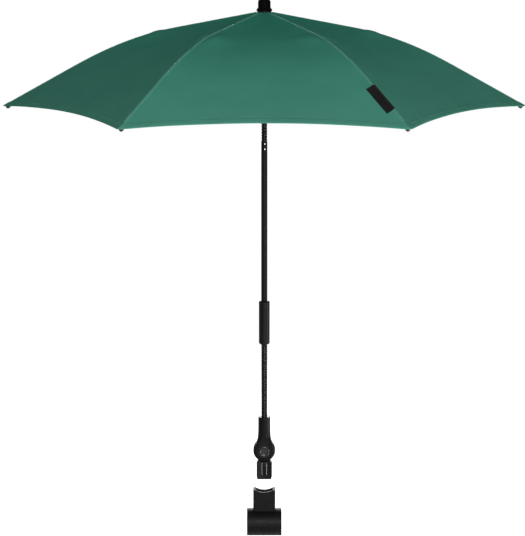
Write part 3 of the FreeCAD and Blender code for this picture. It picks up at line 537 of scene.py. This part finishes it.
def rib_line():
    """The rib's bowed line, raised to the cloth's outer face: radii and heights from the crown."""
    slope, bent, final = RIB_SLOPES

    def ahead(angle):
        return np.array([math.cos(angle), -math.sin(angle)])

    def normal(angle):
        return np.array([math.sin(angle), math.cos(angle)])

    reach = BEND_RADIUS * math.tan((bent - slope) / 2)
    kink = np.array([KINK_RADIUS, -(KINK_RADIUS - RING) * math.tan(slope)])
    bend = kink - ahead(slope) * reach - normal(slope) * BEND_RADIUS
    bow = kink + ahead(bent) * reach - normal(bent) * BOW_RADIUS
    points = [bend + normal(a) * (BEND_RADIUS + LIFT) for a in np.linspace(slope, bent, 10)]
    points += [bow + normal(a) * (BOW_RADIUS + LIFT) for a in np.linspace(bent, final, 60)]
    points.insert(0, points[0] - ahead(slope) * OVERRUN)
    points.append(points[-1] + ahead(final) * OVERRUN)
    return np.array(points)


LINE = rib_line()


def rib_height(radius):
    """Height of the cloth over a rib: being taut, it spreads the rib's bends out."""
    radius = np.asarray(radius, float)
    steps = np.linspace(-SPREAD, SPREAD, 9)
    return np.mean([np.interp(radius + step, LINE[:, 0], LINE[:, 1]) for step in steps], axis=0)


def half_width(radius):
    """From a rib to the middle of the gore, across the rib."""
    return radius * COS_HALF * math.sin(GORE_HALF)


def smooth_step(value, low, high):
    """0 below low, 1 above high, and a smooth rise between them."""
    t = np.clip((value - low) / (high - low), 0, 1)
    return t * t * (3 - 2 * t)


def round_start(across):
    """Distance across the rib, with a rounded start over the seam."""
    return np.sqrt(across ** 2 + SEAM_ROUND ** 2) - SEAM_ROUND


def surface(radius, across):
    """Points of the cloth in a rib's own frame: outwards, across and up."""
    radius, across = np.broadcast_arrays(np.asarray(radius, float), np.asarray(across, float))
    half = half_width(radius)
    side = across / half
    share = np.clip(np.abs(side), 0, 1)
    drawn = MIDDLE_IN * radius * round_start(across) / round_start(half)
    along = np.clip((radius - INNER) / (HEM - INNER), 0, 1)
    sag = SAG * np.sin(math.pi * along ** SAG_SKEW) * (1 - (1 - share) ** 2)
    loose = share * (1 - share)
    pull = HEM_RIPPLE * np.sin(side * HEM_WAVES + HEM_SHIFT) * smooth_step(along, *HEM_SPAN) * loose
    pull += CROWN_RIPPLE * np.sin(side * CROWN_WAVES) * (1 - smooth_step(along, *CROWN_SPAN)) * loose
    beside = (1 - np.exp(-(across / BUMP_INSIDE) ** 2)) * np.exp(-(across / BUMP_OUTSIDE) ** 2)
    bump = BUMP * beside * np.exp(-((radius - BUMP_RADIUS) / BUMP_LENGTH) ** 2)
    return np.stack([radius - drawn, across, rib_height(radius) - sag + pull + bump], -1)


def surface_normal(radius, across, step=0.2):
    """Directions square to the cloth."""
    outwards = surface(radius + step, across) - surface(radius - step, across)
    sideways = surface(radius, across + step) - surface(radius, across - step)
    normal = np.cross(outwards, sideways)
    return normal / np.linalg.norm(normal, axis=-1, keepdims=True)


def hem_radius(share, rounds=12):
    """Rib radius at which the hollowed hem cuts the gore, at a share of the way to its middle."""
    chord = HEM * math.sin(GORE_HALF)
    bow = (chord ** 2 + HOLLOW ** 2) / (2 * HOLLOW)
    radius = np.full(np.shape(share), HEM)
    for _ in range(rounds):
        beside = radius * math.sin(GORE_HALF) * (1 - np.clip(share, 0, 1))
        away = HEM * COS_HALF - HOLLOW + bow - np.sqrt(bow ** 2 - beside ** 2)
        radius = away / COS_HALF
    return radius


def flap(radius):
    """Cloth folded under the next gore near the crown, taken up when the ribs fold."""
    inward = (1 - MIDDLE_IN) * radius - RING
    closed = RING + inward * math.cos(FOLD) + rib_height(radius) * math.sin(FOLD)
    need = np.maximum(closed, 0) * math.tan(GORE_HALF) / KEEP - half_width(radius)
    room = np.clip(need, 0, FLAP_SHARE * half_width(radius))
    return room * smooth_step(radius, *FLAP_GROWS) * (1 - smooth_step(radius, *FLAP_ENDS))


class Place:
    """A rib's own frame round the mast."""

    def __init__(self, index):
        angle = 2 * index * GORE_HALF
        self.out = np.array([math.cos(angle), math.sin(angle), 0])
        self.side = np.array([-math.sin(angle), math.cos(angle), 0])
        self.body = "rib_%d" % (index + 1)

    def world(self, points):
        """Places in metres for points in the rib's frame."""
        points = np.asarray(points, float)
        flat = points[..., :1] * self.out + points[..., 1:2] * self.side
        up = np.array([0, 0, 1.0])
        return (flat + (points[..., 2:3] + CROWN) * up) * MM

    def fold(self, obj):
        """Let a piece ride on the rib."""
        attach(obj, self.body)
        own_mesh(obj)


# Columns of a petal's points: distances from the rib, kept within a share of the way to the gore's middle,
# then shares of the rest of that way, and shares of the flap past it, which starts with a small step
NEAR = np.array([0.0, 0.6, 1.2, 1.8, 2.2, 2.6, 3.2, 4.2])
NEAR_SHARE = 0.8
FAR = np.array([0.06, 0.13, 0.22, 0.33, 0.45, 0.58, 0.72, 0.86, 1.0])
UNDER = np.array([0.5, 1.0])
UNDER_START = 0.3
# Rows of a petal's points: even ones from the crown, then distances from the hem's edge
ROWS = 64
BAND = np.array([10.5, 9.8, 9.3, 8.9, 8.2, 6.0, 3.0, 1.0, 0.35, 0.0])


def petal_grid():
    """Radii and distances across for half a petal's points, from the crown to the hem."""
    shares = np.concatenate([np.zeros(len(NEAR)), FAR, np.ones(len(UNDER) + 1)])
    reach = hem_radius(shares)
    steps = np.linspace(0, 1, ROWS)
    body = INNER + (reach[None, :] - BAND[0] - INNER) * steps[:, None]
    radii = np.concatenate([body[:-1], reach[None, :] - BAND[:, None]], 0)
    half = half_width(radii)
    near = np.minimum(NEAR[None, :], half[:, :len(NEAR)] * NEAR_SHARE * NEAR[None, :] / NEAR[-1])
    start = near[:, -1:]
    far = start + (half[:, len(NEAR):len(NEAR) + len(FAR)] - start) * FAR[None, :]
    spare = flap(radii[:, -1:])
    under = half[:, -1:] + np.concatenate([np.minimum(spare, UNDER_START), spare * UNDER[None, :]], 1)
    return radii, np.concatenate([near, far, under], 1)


def petal(index):
    """One sixth of the cover, from the middle of a gore over its rib to the middle of the next."""
    place = Place(index)
    radii, across = petal_grid()
    across = np.concatenate([-across[:, :0:-1], across], 1)
    radii = np.concatenate([radii[:, :0:-1], radii], 1)
    rows, columns = radii.shape
    points = surface(radii, across)
    normals = surface_normal(radii, across)
    from_hem = np.concatenate([np.full(ROWS - 1, HEM), BAND])[:, None]
    seam = SEAM_RISE * (1 - smooth_step(np.abs(across), *SEAM_EDGE))
    hem = HEM_RISE * (1 - smooth_step(from_hem, *HEM_EDGE))
    roll = -ROLL * (1 - smooth_step(from_hem, *ROLL_EDGE))
    tuck = -TUCK * smooth_step(np.abs(across) - half_width(radii), *TUCK_EDGE)
    top = place.world(points + normals * (seam + hem + roll + tuck)[..., None])
    under = place.world(points + normals * (tuck - THICK)[..., None])
    verts = np.concatenate([top.reshape(-1, 3), under.reshape(-1, 3)])
    run = np.concatenate([[0], np.cumsum(np.linalg.norm(np.diff(LINE, axis=0), axis=1))])
    flat = np.stack([across, np.interp(radii, LINE[:, 0], run)], -1).reshape(-1, 2) * MM
    name = "canopy_%d" % (index + 1)
    obj = mesh_object(name, verts, sheet_faces(rows, columns), CLOTH, np.concatenate([flat, flat]))
    made = bmesh.new()
    made.from_mesh(obj.data)
    bmesh.ops.dissolve_degenerate(made, dist=0.02 * MM, edges=made.edges)
    made.to_mesh(obj.data)
    made.free()
    smooth_by_angle(obj, degrees=50)
    cells = np.cross(top[1:, :-1] - top[:-1, :-1], top[:-1, 1:] - top[:-1, :-1])
    place.fold(obj)
    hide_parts("canopy_panel_%d" % (index + 1))
    return obj, float(np.linalg.norm(cells, axis=-1).sum())


# Stitches: pitch, length, gap before each, height, how far their ends sink into the cloth, the sides of
# their section, and the shares of their length between which they are full
STITCH_PITCH = 3.3
STITCH_LENGTH = 2.4
STITCH_GAP = 0.3
STITCH_HEIGHT = 0.2
STITCH_SINK = 0.12
STITCH_SIDES = 6
STITCH_FULL = (0.3, 0.7)
# Seam's stitches: from and to radius, distance from the seam's middle, lift and half width
SEAM_STITCHES = (18, 349)
SEAM_BESIDE = 0.85
SEAM_LIFT, SEAM_WIDE = 0.58, 0.36
# Hem's stitches: distance from the edge, lift and half width
HEM_BESIDE = 7.6
HEM_LIFT, HEM_WIDE = 0.48, 0.26


def stitch(start, end, wide, first):
    """Points and faces of one stitch, pointed at both ends, whose first point has a number."""
    along = end - start
    along /= np.linalg.norm(along)
    normal = np.cross(along, np.cross([0, 0, 1.0], along))
    normal /= np.linalg.norm(normal)
    beside = np.cross(along, normal)
    verts = [start - normal * STITCH_SINK * MM]
    for share in STITCH_FULL:
        core = start * (1 - share) + end * share
        for k in range(STITCH_SIDES):
            turn = 2 * math.pi * k / STITCH_SIDES
            rise = normal * math.sin(turn) * STITCH_HEIGHT
            verts.append(core + (beside * math.cos(turn) * wide + rise) * MM)
    verts.append(end - normal * STITCH_SINK * MM)
    faces = []
    near, far = first + 1, first + 1 + STITCH_SIDES
    for a in range(STITCH_SIDES):
        b = (a + 1) % STITCH_SIDES
        faces.append((first, near + b, near + a))
        faces.append((near + a, near + b, far + b, far + a))
        faces.append((far + STITCH_SIDES, far + a, far + b))
    return verts, faces


def point_at(distance, gone, path):
    """Point at a distance along a path."""
    return np.array([np.interp(distance, gone, path[:, c]) for c in range(3)])


def stitch_line(place, radii, across, lift, wide, verts, faces):
    """Add short stitches along a line on the cloth."""
    path = place.world(surface(radii, across) + surface_normal(radii, across) * lift)
    gone = np.concatenate([[0], np.cumsum(np.linalg.norm(np.diff(path, axis=0), axis=1))]) / MM
    for k in range(int(gone[-1] / STITCH_PITCH)):
        begin = k * STITCH_PITCH + STITCH_GAP
        start, end = (point_at(distance, gone, path) for distance in (begin, begin + STITCH_LENGTH))
        more_verts, more_faces = stitch(start, end, wide, len(verts))
        verts += more_verts
        faces += more_faces


def sewn(name, place, verts, faces, material):
    """Stitches as one piece that folds with its petal."""
    verts = np.array(verts)
    obj = mesh_object(name, verts, faces, material, verts[:, :2] + verts[:, 2:])
    place.fold(obj)
    return obj


def stitches(index):
    """Two lines of stitching along the seam."""
    place = Place(index)
    verts, faces = [], []
    radii = np.linspace(*SEAM_STITCHES, 260)
    for sign in (-1, 1):
        stitch_line(place, radii, np.full_like(radii, sign * SEAM_BESIDE), SEAM_LIFT, SEAM_WIDE, verts, faces)
    return sewn("stitching_%d" % (index + 1), place, verts, faces, THREAD)


def hem_stitches(index):
    """One line of stitching along the hem."""
    place = Place(index)
    verts, faces = [], []
    shares = np.linspace(-1, 1, 240)
    edge = hem_radius(np.abs(shares)) - HEM_BESIDE
    stitch_line(place, edge, half_width(edge) * shares, HEM_LIFT, HEM_WIDE, verts, faces)
    return sewn("hem_stitching_%d" % (index + 1), place, verts, faces, HEM_THREAD)


# Tag: the rib that carries it, the radii and distances across of its corners, its length and width
TAG_RIB = 5
TAG_CORNERS = np.array([[[272.0, 4.6], [281.8, -11.4]], [[321.0, 2.4], [331.2, -11.8]]])
TAG_LENGTH, TAG_WIDTH = 48.0, 12.0
# Shares of the length at which the points crowd together towards an end
TAG_EDGE = np.array([0, 0.006, 0.016])
# Lift over the cloth, more over the raised seam and the folded ends, rise of the rim, ripple and underside
TAG_LIFT = 0.55
TAG_SEAM, TAG_SEAM_EDGE = 0.55, (1.9, 4.5)
TAG_FOLD, TAG_FOLD_EDGE = 0.16, (3.2, 4.2)
TAG_RISE, TAG_RIM = 0.35, (0.0, 0.7)
TAG_RIPPLE, TAG_WAVES = 0.18, 9.0
TAG_UNDER = 0.3


def label():
    """Blank sewn tag on the front right seam."""
    place = Place(TAG_RIB)
    crowd = TAG_EDGE * TAG_LENGTH / TAG_WIDTH
    long = np.concatenate([TAG_EDGE, np.linspace(0.035, 0.965, 28), 1 - TAG_EDGE[::-1]])
    wide = np.concatenate([crowd, np.linspace(0.11, 0.89, 13), 1 - crowd[::-1]])
    u, v = long[:, None, None], wide[None, :, None]
    near, far = ((1 - v) * pair[0] + v * pair[1] for pair in TAG_CORNERS)
    spots = (1 - u) * near + u * far
    radii, across = spots[..., 0], spots[..., 1]
    from_end = np.minimum(u, 1 - u)[..., 0] * TAG_LENGTH
    from_rim = np.minimum(from_end, np.minimum(v, 1 - v)[..., 0] * TAG_WIDTH)
    seam = TAG_SEAM * (1 - smooth_step(np.abs(across), *TAG_SEAM_EDGE))
    fold = TAG_FOLD * (1 - smooth_step(from_end, *TAG_FOLD_EDGE))
    ripple = TAG_RIPPLE * np.sin(long * TAG_WAVES)[:, None] * (2 * wide - 1)[None, :] ** 2
    lift = TAG_LIFT + seam + fold + TAG_RISE * smooth_step(from_rim, *TAG_RIM) + ripple
    points = surface(radii, across)
    normals = surface_normal(radii, across)
    top = place.world(points + normals * lift[..., None])
    under = place.world(points + normals * (TAG_UNDER + seam / 2)[..., None])
    verts = np.concatenate([top.reshape(-1, 3), under.reshape(-1, 3)])
    flat = np.stack([across, radii], -1).reshape(-1, 2) * MM
    obj = mesh_object("canopy_tag", verts, sheet_faces(*radii.shape), LABEL, np.concatenate([flat, flat]))
    place.fold(obj)
    return obj


tag = label()
for k in range(RIBS):
    cloth, area = petal(k)
    pieces = [stitches(k), hem_stitches(k)]
    if k == TAG_RIB:
        pieces.append(tag)


# Flexible necks: a round wire and a filling wire wound together


def wound(name, low, high, wires, pitch, material, sides=10, steps=26):
    """Wires wound between two heights, in the same turns whatever the heights.

    Each wire is its turns' mean radius, its own radius and its shift in turns."""
    verts, faces = [], []
    for mean, wire, shift in wires:
        first = math.floor((low / pitch - shift) * steps)
        last = math.ceil((high / pitch - shift) * steps)
        start = len(verts)
        for step in range(first, last + 1):
            height = min(max((step / steps + shift) * pitch, low), high)
            angle = (height / pitch - shift) * 2 * math.pi
            out = np.array([math.cos(angle), math.sin(angle), 0])
            ahead = np.array([-math.sin(angle), math.cos(angle), pitch / (2 * math.pi * mean)])
            ahead /= np.linalg.norm(ahead)
            beside = np.cross(ahead, out)
            centre = out * mean + np.array([0, 0, height])
            for k in range(sides):
                turn = 2 * math.pi * k / sides
                verts.append((centre + (out * math.cos(turn) + beside * math.sin(turn)) * wire) * MM)
        faces += ring_faces(last + 1 - first, sides, start)
    return mesh_object(name, verts, faces, material)


def neck(name, wires, pitch, low, high, joints, node):
    """A neck in one wound piece per joint, cut halfway between the joints' heights."""
    heights = [JOINT[j]["pos_m"][2] / MM for j in joints]
    cuts = [low] + [(a + b) / 2 for a, b in zip(heights, heights[1:])] + [high]
    for index, height in enumerate(heights):
        piece = wound("%s_%d" % (name, index + 1), cuts[index], cuts[index + 1], wires, pitch, NECK)
        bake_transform(piece)
        if index == 0:
            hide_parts(node)


neck(
    "lower_neck", wires=[(3.2, 1.25, 0.0), (3.05, 1.0, 0.5)], pitch=3.72, low=150.0, high=265.0,
    joints=["lower_neck_pitch", "lower_neck_roll", "lower_neck_pitch_2", "lower_neck_roll_2"],
    node="lower_neck_winding",
)
neck(
    "upper_neck", wires=[(2.95, 1.25, 0.0), (2.8, 1.0, 0.5)], pitch=4.1, low=541.5, high=600.0,
    joints=["upper_neck_pitch", "upper_neck_pitch_2"],
    node="upper_neck_winding",
)


# Tilting head: a disc on the pivot and a neck above it, in millimetres, with heights above the pivot

PIVOT = JOINT["head_tilt"]["pos_m"][2] / MM
DISC_RADIUS, DISC_HALF = 15.6, 9.0
DISC_FACE = 13.0
DISC_ROLL = 1.6
# Radii on the disc's faces that carry a ring of points
DISC_RINGS = (8.6, 10.9)
# The neck starts this far inside the disc's rim and faces
SUNK_RIM, SUNK_FACE = 0.05, 0.03
HEAD_RADIUS, HEAD_TOP = 8.6, 49.0
# Height at which the neck leaves the disc's round, where it flares by this much and tapers this fast
LEAVES, FLARE, FLARE_TAPER = 9.0, 4.08, 5.8
# Lowest height of the neck, and how much it is drawn in there
FOOT, FOOT_IN = 3.0, 3.0
# Heights over which the neck turns from a block with these corners to a round, and a corner's largest share
ROUNDING = (6, 24)
BLOCK_CORNER = 2.3
CORNER_SHARE = 0.98
# Rounding at the neck's top
TOP_ROLL, TOP_TRIM = 0.8, 0.5
# Slot for the tongue, seats for the covers and socket for the winding's foot, each cut from past the head
SLOT_HALF, SLOT_TOP, SLOT_ROOT, SLOT_PAST = 3.8, 9.6, 13.1, 40.0
SEAT_RADIUS, SEAT_FLOOR, SEAT_PAST = 8.15, 6.9, 12.0
SOCKET_HALF, SOCKET_FLOOR, SOCKET_PAST = 3.1, 39.0, 60.0


def head_neck(sides=72):
    """Round neck that flares down into the disc's sides."""
    low, high = np.linspace(FOOT, 12.0, 19), np.linspace(12.6, HEAD_TOP - 1.0, 44)
    heights = [*low, *high, HEAD_TOP - 0.55, HEAD_TOP - 0.2, HEAD_TOP]
    rim, face = DISC_RADIUS - SUNK_RIM, DISC_HALF - SUNK_FACE
    verts = []
    for over in heights:
        if over > LEAVES:
            wide = HEAD_RADIUS + FLARE * math.exp(-(over - LEAVES) / FLARE_TAPER)
        else:
            wide = math.sqrt(rim ** 2 - over ** 2) - FOOT_IN * (1 - float(smooth_step(over, FOOT, LEAVES)))
        blend = float(smooth_step(over, *ROUNDING))
        deep = face + (HEAD_RADIUS - face) * blend
        corner = BLOCK_CORNER + (HEAD_RADIUS - BLOCK_CORNER) * blend
        end = float(np.clip((HEAD_TOP - over) / TOP_ROLL, 0, 1))
        trim = TOP_TRIM * (1 - math.sqrt(1 - (1 - end) ** 2))
        wide, deep = wide - trim, deep - trim
        corner = min(corner, wide * CORNER_SHARE, deep * CORNER_SHARE)
        for k in range(sides):
            angle = 2 * math.pi * (k + 0.5) / sides
            c, t = math.cos(angle), math.sin(angle)
            x = math.copysign(wide - corner, c) + corner * c
            y = math.copysign(deep - corner, t) + corner * t
            verts.append((x * MM, y * MM, (PIVOT + over) * MM))
    faces = ring_faces(len(heights), sides)
    faces.append(tuple(range(sides))[::-1])
    faces.append(tuple((len(heights) - 1) * sides + k for k in range(sides)))
    return mesh_object("tilting_head", verts, faces, BLACK)


def head_disc():
    """Disc with a rolled rim, turned about the pivot."""
    slope = DISC_HALF - (DISC_RADIUS - DISC_FACE)
    half = [(DISC_RADIUS, slope), (DISC_FACE, DISC_HALF), (0, DISC_HALF)]
    rim = rounded([(r, -y) for r, y in half[::-1]] + half, amount=DISC_ROLL, steps=5)
    front = [(r, -DISC_HALF) for r in DISC_RINGS]
    back = [(r, DISC_HALF) for r in DISC_RINGS[::-1]]
    rim = rim[:1] + front + rim[1:-1] + back + rim[-1:]
    return lathe("head_disc", rim, BLACK, (0, 0, PIVOT * MM), sides=96, axis=(0, 1, 0))


def tilting_head():
    """Neck and disc in one, slotted for the tongue, with seats for its covers."""
    head = carve(head_neck(), [head_disc()], "UNION")
    carve(head, [
        box_cutter(
            "slot", (-SLOT_PAST, -SLOT_HALF, PIVOT - SLOT_PAST), (SLOT_PAST, SLOT_HALF, PIVOT + SLOT_TOP)),
        round_cutter("slot_root", -SLOT_HALF, SLOT_HALF, SLOT_ROOT, PIVOT),
        round_cutter("front_seat", -SEAT_PAST, -SEAT_FLOOR, SEAT_RADIUS, PIVOT),
        round_cutter("back_seat", SEAT_FLOOR, SEAT_PAST, SEAT_RADIUS, PIVOT),
        box_cutter(
            "neck_seat", (-SOCKET_HALF, -SOCKET_HALF, PIVOT + SOCKET_FLOOR),
            (SOCKET_HALF, SOCKET_HALF, PIVOT + SOCKET_PAST)),
    ])
    head.data.materials.clear()
    head.data.materials.append(BLACK)
    even_normals(head)
    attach(head, "head")
    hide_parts("pivot_head")


def pivot_cover(side, sign):
    """Dished cover over one end of the pivot's pin."""
    dish = [(7.75, 0.0), (7.75, 2.3), (7.0, 3.2), (6.2, 3.45), (5.4, 3.2), (4.8, 2.3), (0, 2.1)]
    base = (0, sign * SEAT_FLOOR * MM, PIVOT * MM)
    outline = rounded(dish, amount=0.6, steps=5)
    cover = lathe("pivot_cover_" + side, outline, BUTTON, base, sides=72, axis=(0, sign, 0))
    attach(cover, "head")
    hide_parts("pivot_cap_" + side)


tilting_head()
pivot_cover("front", -1)
pivot_cover("back", 1)


# Cap, tips, clip, tongue, sleeve and the other pieces. Outlines are radii and heights in millimetres.

CAP_HEIGHT = 17.1
CAP_STEM = 12.0
# A tip's centre: its rib radius and how far it lies below the rib's middle line
TIP_END = 356.0
TIP_BELOW = 0.9
# The tongue's key: its groove's corners, and its rails' length and place
GROOVE = ((-2.4, -8.0, 70.4), (2.4, -5.15, 88.4))
RAIL_LENGTH = 17.8
RAIL_APART, RAIL_FRONT, RAIL_FOOT = 3.3, -5.33, 70.5
# The collar's studs: their heights, place and direction
STUD_HEIGHTS = (544.0, 536.8)
STUD_BESIDE, STUD_FRONT = 0.9, -4.22
STUD_AXIS = (0.2, -1, 0)


def canopy_cap():
    """Flanged cap with a domed button, on a stem that goes into the crown."""
    profile = [(0, -CAP_STEM), (3.5, -CAP_STEM), (3.5, -0.2), (10.3, 0), (10.8, 0.5), (10.8, 2.3), (9.2, 4.3)]
    profile += [(8.7, 5.0), (8.6, 13.4), (7.8, 15.2), (5.6, 16.5), (3.0, 17.0), (0, CAP_HEIGHT)]
    base = (0, 0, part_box("top_cap")[1].z - CAP_HEIGHT * MM)
    cap = lathe("canopy_cap", rounded(profile, amount=0.9, steps=5), CAP, base, sides=80)
    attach(cap, "shaft")
    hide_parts("top_cap")


def tip(index):
    """Ball tip with a shank that goes into the rib's end."""
    place = Place(index)
    slope = RIB_SLOPES[-1]
    along = Vector((*(place.out[:2] * math.cos(slope)), -math.sin(slope)))
    drop = (LIFT + TIP_BELOW) * math.cos(slope)
    spot = np.array([TIP_END, 0, rib_height(TIP_END + LIFT * math.sin(slope)) - drop])
    ball = [(0, -9.5), (2.0, -9.5), (2.0, -4.8), (2.3, -4.2), (2.9, -3.1), (3.15, -1.6)]
    ball += [(2.9, -0.1), (2.2, 1.0), (1.1, 1.6), (0, 1.7)]
    outline = rounded(ball, amount=0.8, steps=4)
    knob = lathe("tip_%d" % (index + 1), outline, BUTTON, place.world(spot), sides=40, axis=along)
    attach(knob, place.body)
    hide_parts("rib_tip_%d" % (index + 1))


def key_rail(side):
    """Rail beside the groove of the tongue's key, light grey partly for wear and partly as a painted
    highlight.
    """
    half = [(0, 0), (0.45, 0), (0.62, 0.25)]
    rail = rounded(half + [(r, RAIL_LENGTH - y) for r, y in half[::-1]], amount=0.2, steps=3)
    base = (side * RAIL_APART * MM, RAIL_FRONT * MM, RAIL_FOOT * MM)
    bead = lathe("key_rail_%d" % (side + 2), rail, RAIL_WEAR_AND_HIGHLIGHT, base, sides=24)
    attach(bead, "tongue")


def collar_stud(index, height):
    """Small bright stud on the front of the upper neck's collar."""
    rivet = [(0, -0.5), (0.75, -0.5), (0.8, 0.05), (0.62, 0.26), (0.3, 0.34), (0, 0.36)]
    base = (STUD_BESIDE * MM, STUD_FRONT * MM, height * MM)
    outline = rounded(rivet, amount=0.12, steps=3)
    stud = lathe("collar_stud_%d" % (index + 1), outline, STEEL, base, sides=28, axis=STUD_AXIS)
    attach(stud, "mast")


def finish_for(node):
    """Material of a CAD node that stays."""
    if node in ("mast_tube", "upper_mast") or "neck_" in node:
        return TUBE
    if node.startswith("rib_"):
        return RIB
    if node.startswith("stretcher"):
        return BAR
    if "wire" in node or node in ("pivot_pin", "pivot_washers"):
        return STEEL
    return BLACK


canopy_cap()
for k in range(RIBS):
    tip(k)
softened("clip_body", "clip", CLIP, width=0.6)
softened("clip_liner", "clip", RUBBER, width=0.4)
groove = box_cutter("groove", *GROOVE)
softened("tongue", "tongue", BLACK, width=0.4, tools=[groove])
for side in (-1, 1):
    key_rail(side)
softened("sleeve", "sleeve", SLEEVE, width=0.5)
softened("upper_neck_collar", "mast", TUBE, width=0.35)
softened("runner", "runner", BLACK, width=0.3)
softened("crown", "shaft", BLACK, width=0.2)
for node in NODES:
    if not NODES[node].hide_render:
        finish_node(node, finish_for(node))
for index, height in enumerate(STUD_HEIGHTS):
    collar_stud(index, height)


# Stage, light and camera, in metres

# The floor's height, colour and glow, and the world's light on the object
FLOOR_HEIGHT = -0.42
FLOOR_GREY = (0.5, 0.5, 0.5)
FLOOR_GLOW = 0.98
AMBIENT = 0.055
# Each lamp's name, place, aim, width and height, and power in watts
LAMPS = [
    ("key", (0.2, -3.15, 1.0), (0, 0, 0.55), (1.1, 1.1), 152.0),
    ("top", (0.05, 0.7, 2.4), (0, 0, 0.7), (1.1, 0.8), 8.0),
    ("strip_front", (1.15, -2.0, -0.1), (0, 0, 0.2), (0.16, 0.5), 15.0),
    ("strip_right", (1.4, -0.3, -0.1), (0, 0, 0.15), (0.3, 0.5), 16.0),
    ("low_right", (0.4, 0.05, -0.38), (0, 0, 0.1), (0.35, 0.35), 4.0),
    ("back", (0.0, 2.6, 1.3), (0, 0, 0.6), (1.2, 1.2), 62.0),
    ("fill_left", (-2.4, -1.6, 1.0), (0, 0, 0.5), (1.0, 1.4), 1.0),
]
# The camera: its place, its look downwards, its focal length and the image's width in pixels, and the
# sensor's width in millimetres
VIEWER = (-0.0025, -2.8567, 0.8609)
LOOK_DOWN = math.radians(9.772)
FOCAL_PIXELS, IMAGE_PIXELS = 2066.0, 525.0
SENSOR = 36.0


def seen_rays(tree):
    """1 for the rays that show the white background: from the camera, off gloss and through glass."""
    path = tree.nodes.new("ShaderNodeLightPath")
    seen = math_node(tree, "MAXIMUM", path.outputs["Is Camera Ray"], path.outputs["Is Glossy Ray"])
    return math_node(tree, "MAXIMUM", seen, path.outputs["Is Transmission Ray"])


def floor():
    """Grey floor that glows white for the rays that show the background."""
    mat, tree, bsdf = shader("floor_white", FLOOR_GREY, rough=0.9)
    bsdf.inputs["Specular IOR Level"].default_value = 0.1
    bsdf.inputs["Emission Color"].default_value = (1, 1, 1, 1)
    glow = math_node(tree, "MULTIPLY", seen_rays(tree), FLOOR_GLOW)
    tree.links.new(glow, bsdf.inputs["Emission Strength"])
    corners = [(-9, -5), (9, -5), (9, 9), (-9, 9)]
    verts = [(x, y, FLOOR_HEIGHT) for x, y in corners]
    mesh_object("floor", verts, [(0, 1, 2, 3)], mat)


def studio():
    """White background with a little light from all round."""
    world = bpy.data.worlds.new("studio")
    bpy.context.scene.world = world
    world.use_nodes = True
    tree = world.node_tree
    background = tree.nodes["Background"]
    background.inputs["Color"].default_value = (1, 1, 1, 1)
    strength = span(tree, seen_rays(tree), low=AMBIENT, high=1.0, start=0.0, end=1.0)
    tree.links.new(strength, background.inputs["Strength"])


def lamp(name, place, target, size, power):
    """Soft rectangular light aimed at a point."""
    data = bpy.data.lights.new(name, "AREA")
    data.shape = "RECTANGLE"
    data.size, data.size_y = size
    data.energy = power
    obj = bpy.data.objects.new(name, data)
    bpy.context.scene.collection.objects.link(obj)
    obj.location = place
    obj.rotation_euler = (Vector(target) - Vector(place)).to_track_quat("-Z", "Y").to_euler()


def photo_camera():
    """Camera at the photograph's viewing angle."""
    camera = bpy.data.cameras.new("camera")
    camera.sensor_fit = "HORIZONTAL"
    camera.sensor_width = SENSOR
    camera.lens = SENSOR * FOCAL_PIXELS / IMAGE_PIXELS
    camera.clip_end = 50.0
    viewer = bpy.data.objects.new("camera", camera)
    viewer.location = VIEWER
    viewer.rotation_euler = (math.pi / 2 - LOOK_DOWN, 0, 0)
    bpy.context.scene.collection.objects.link(viewer)
    bpy.context.scene.camera = viewer


floor()
studio()
for values in LAMPS:
    lamp(*values)
photo_camera()
bpy.context.scene.view_settings.view_transform = "Standard"
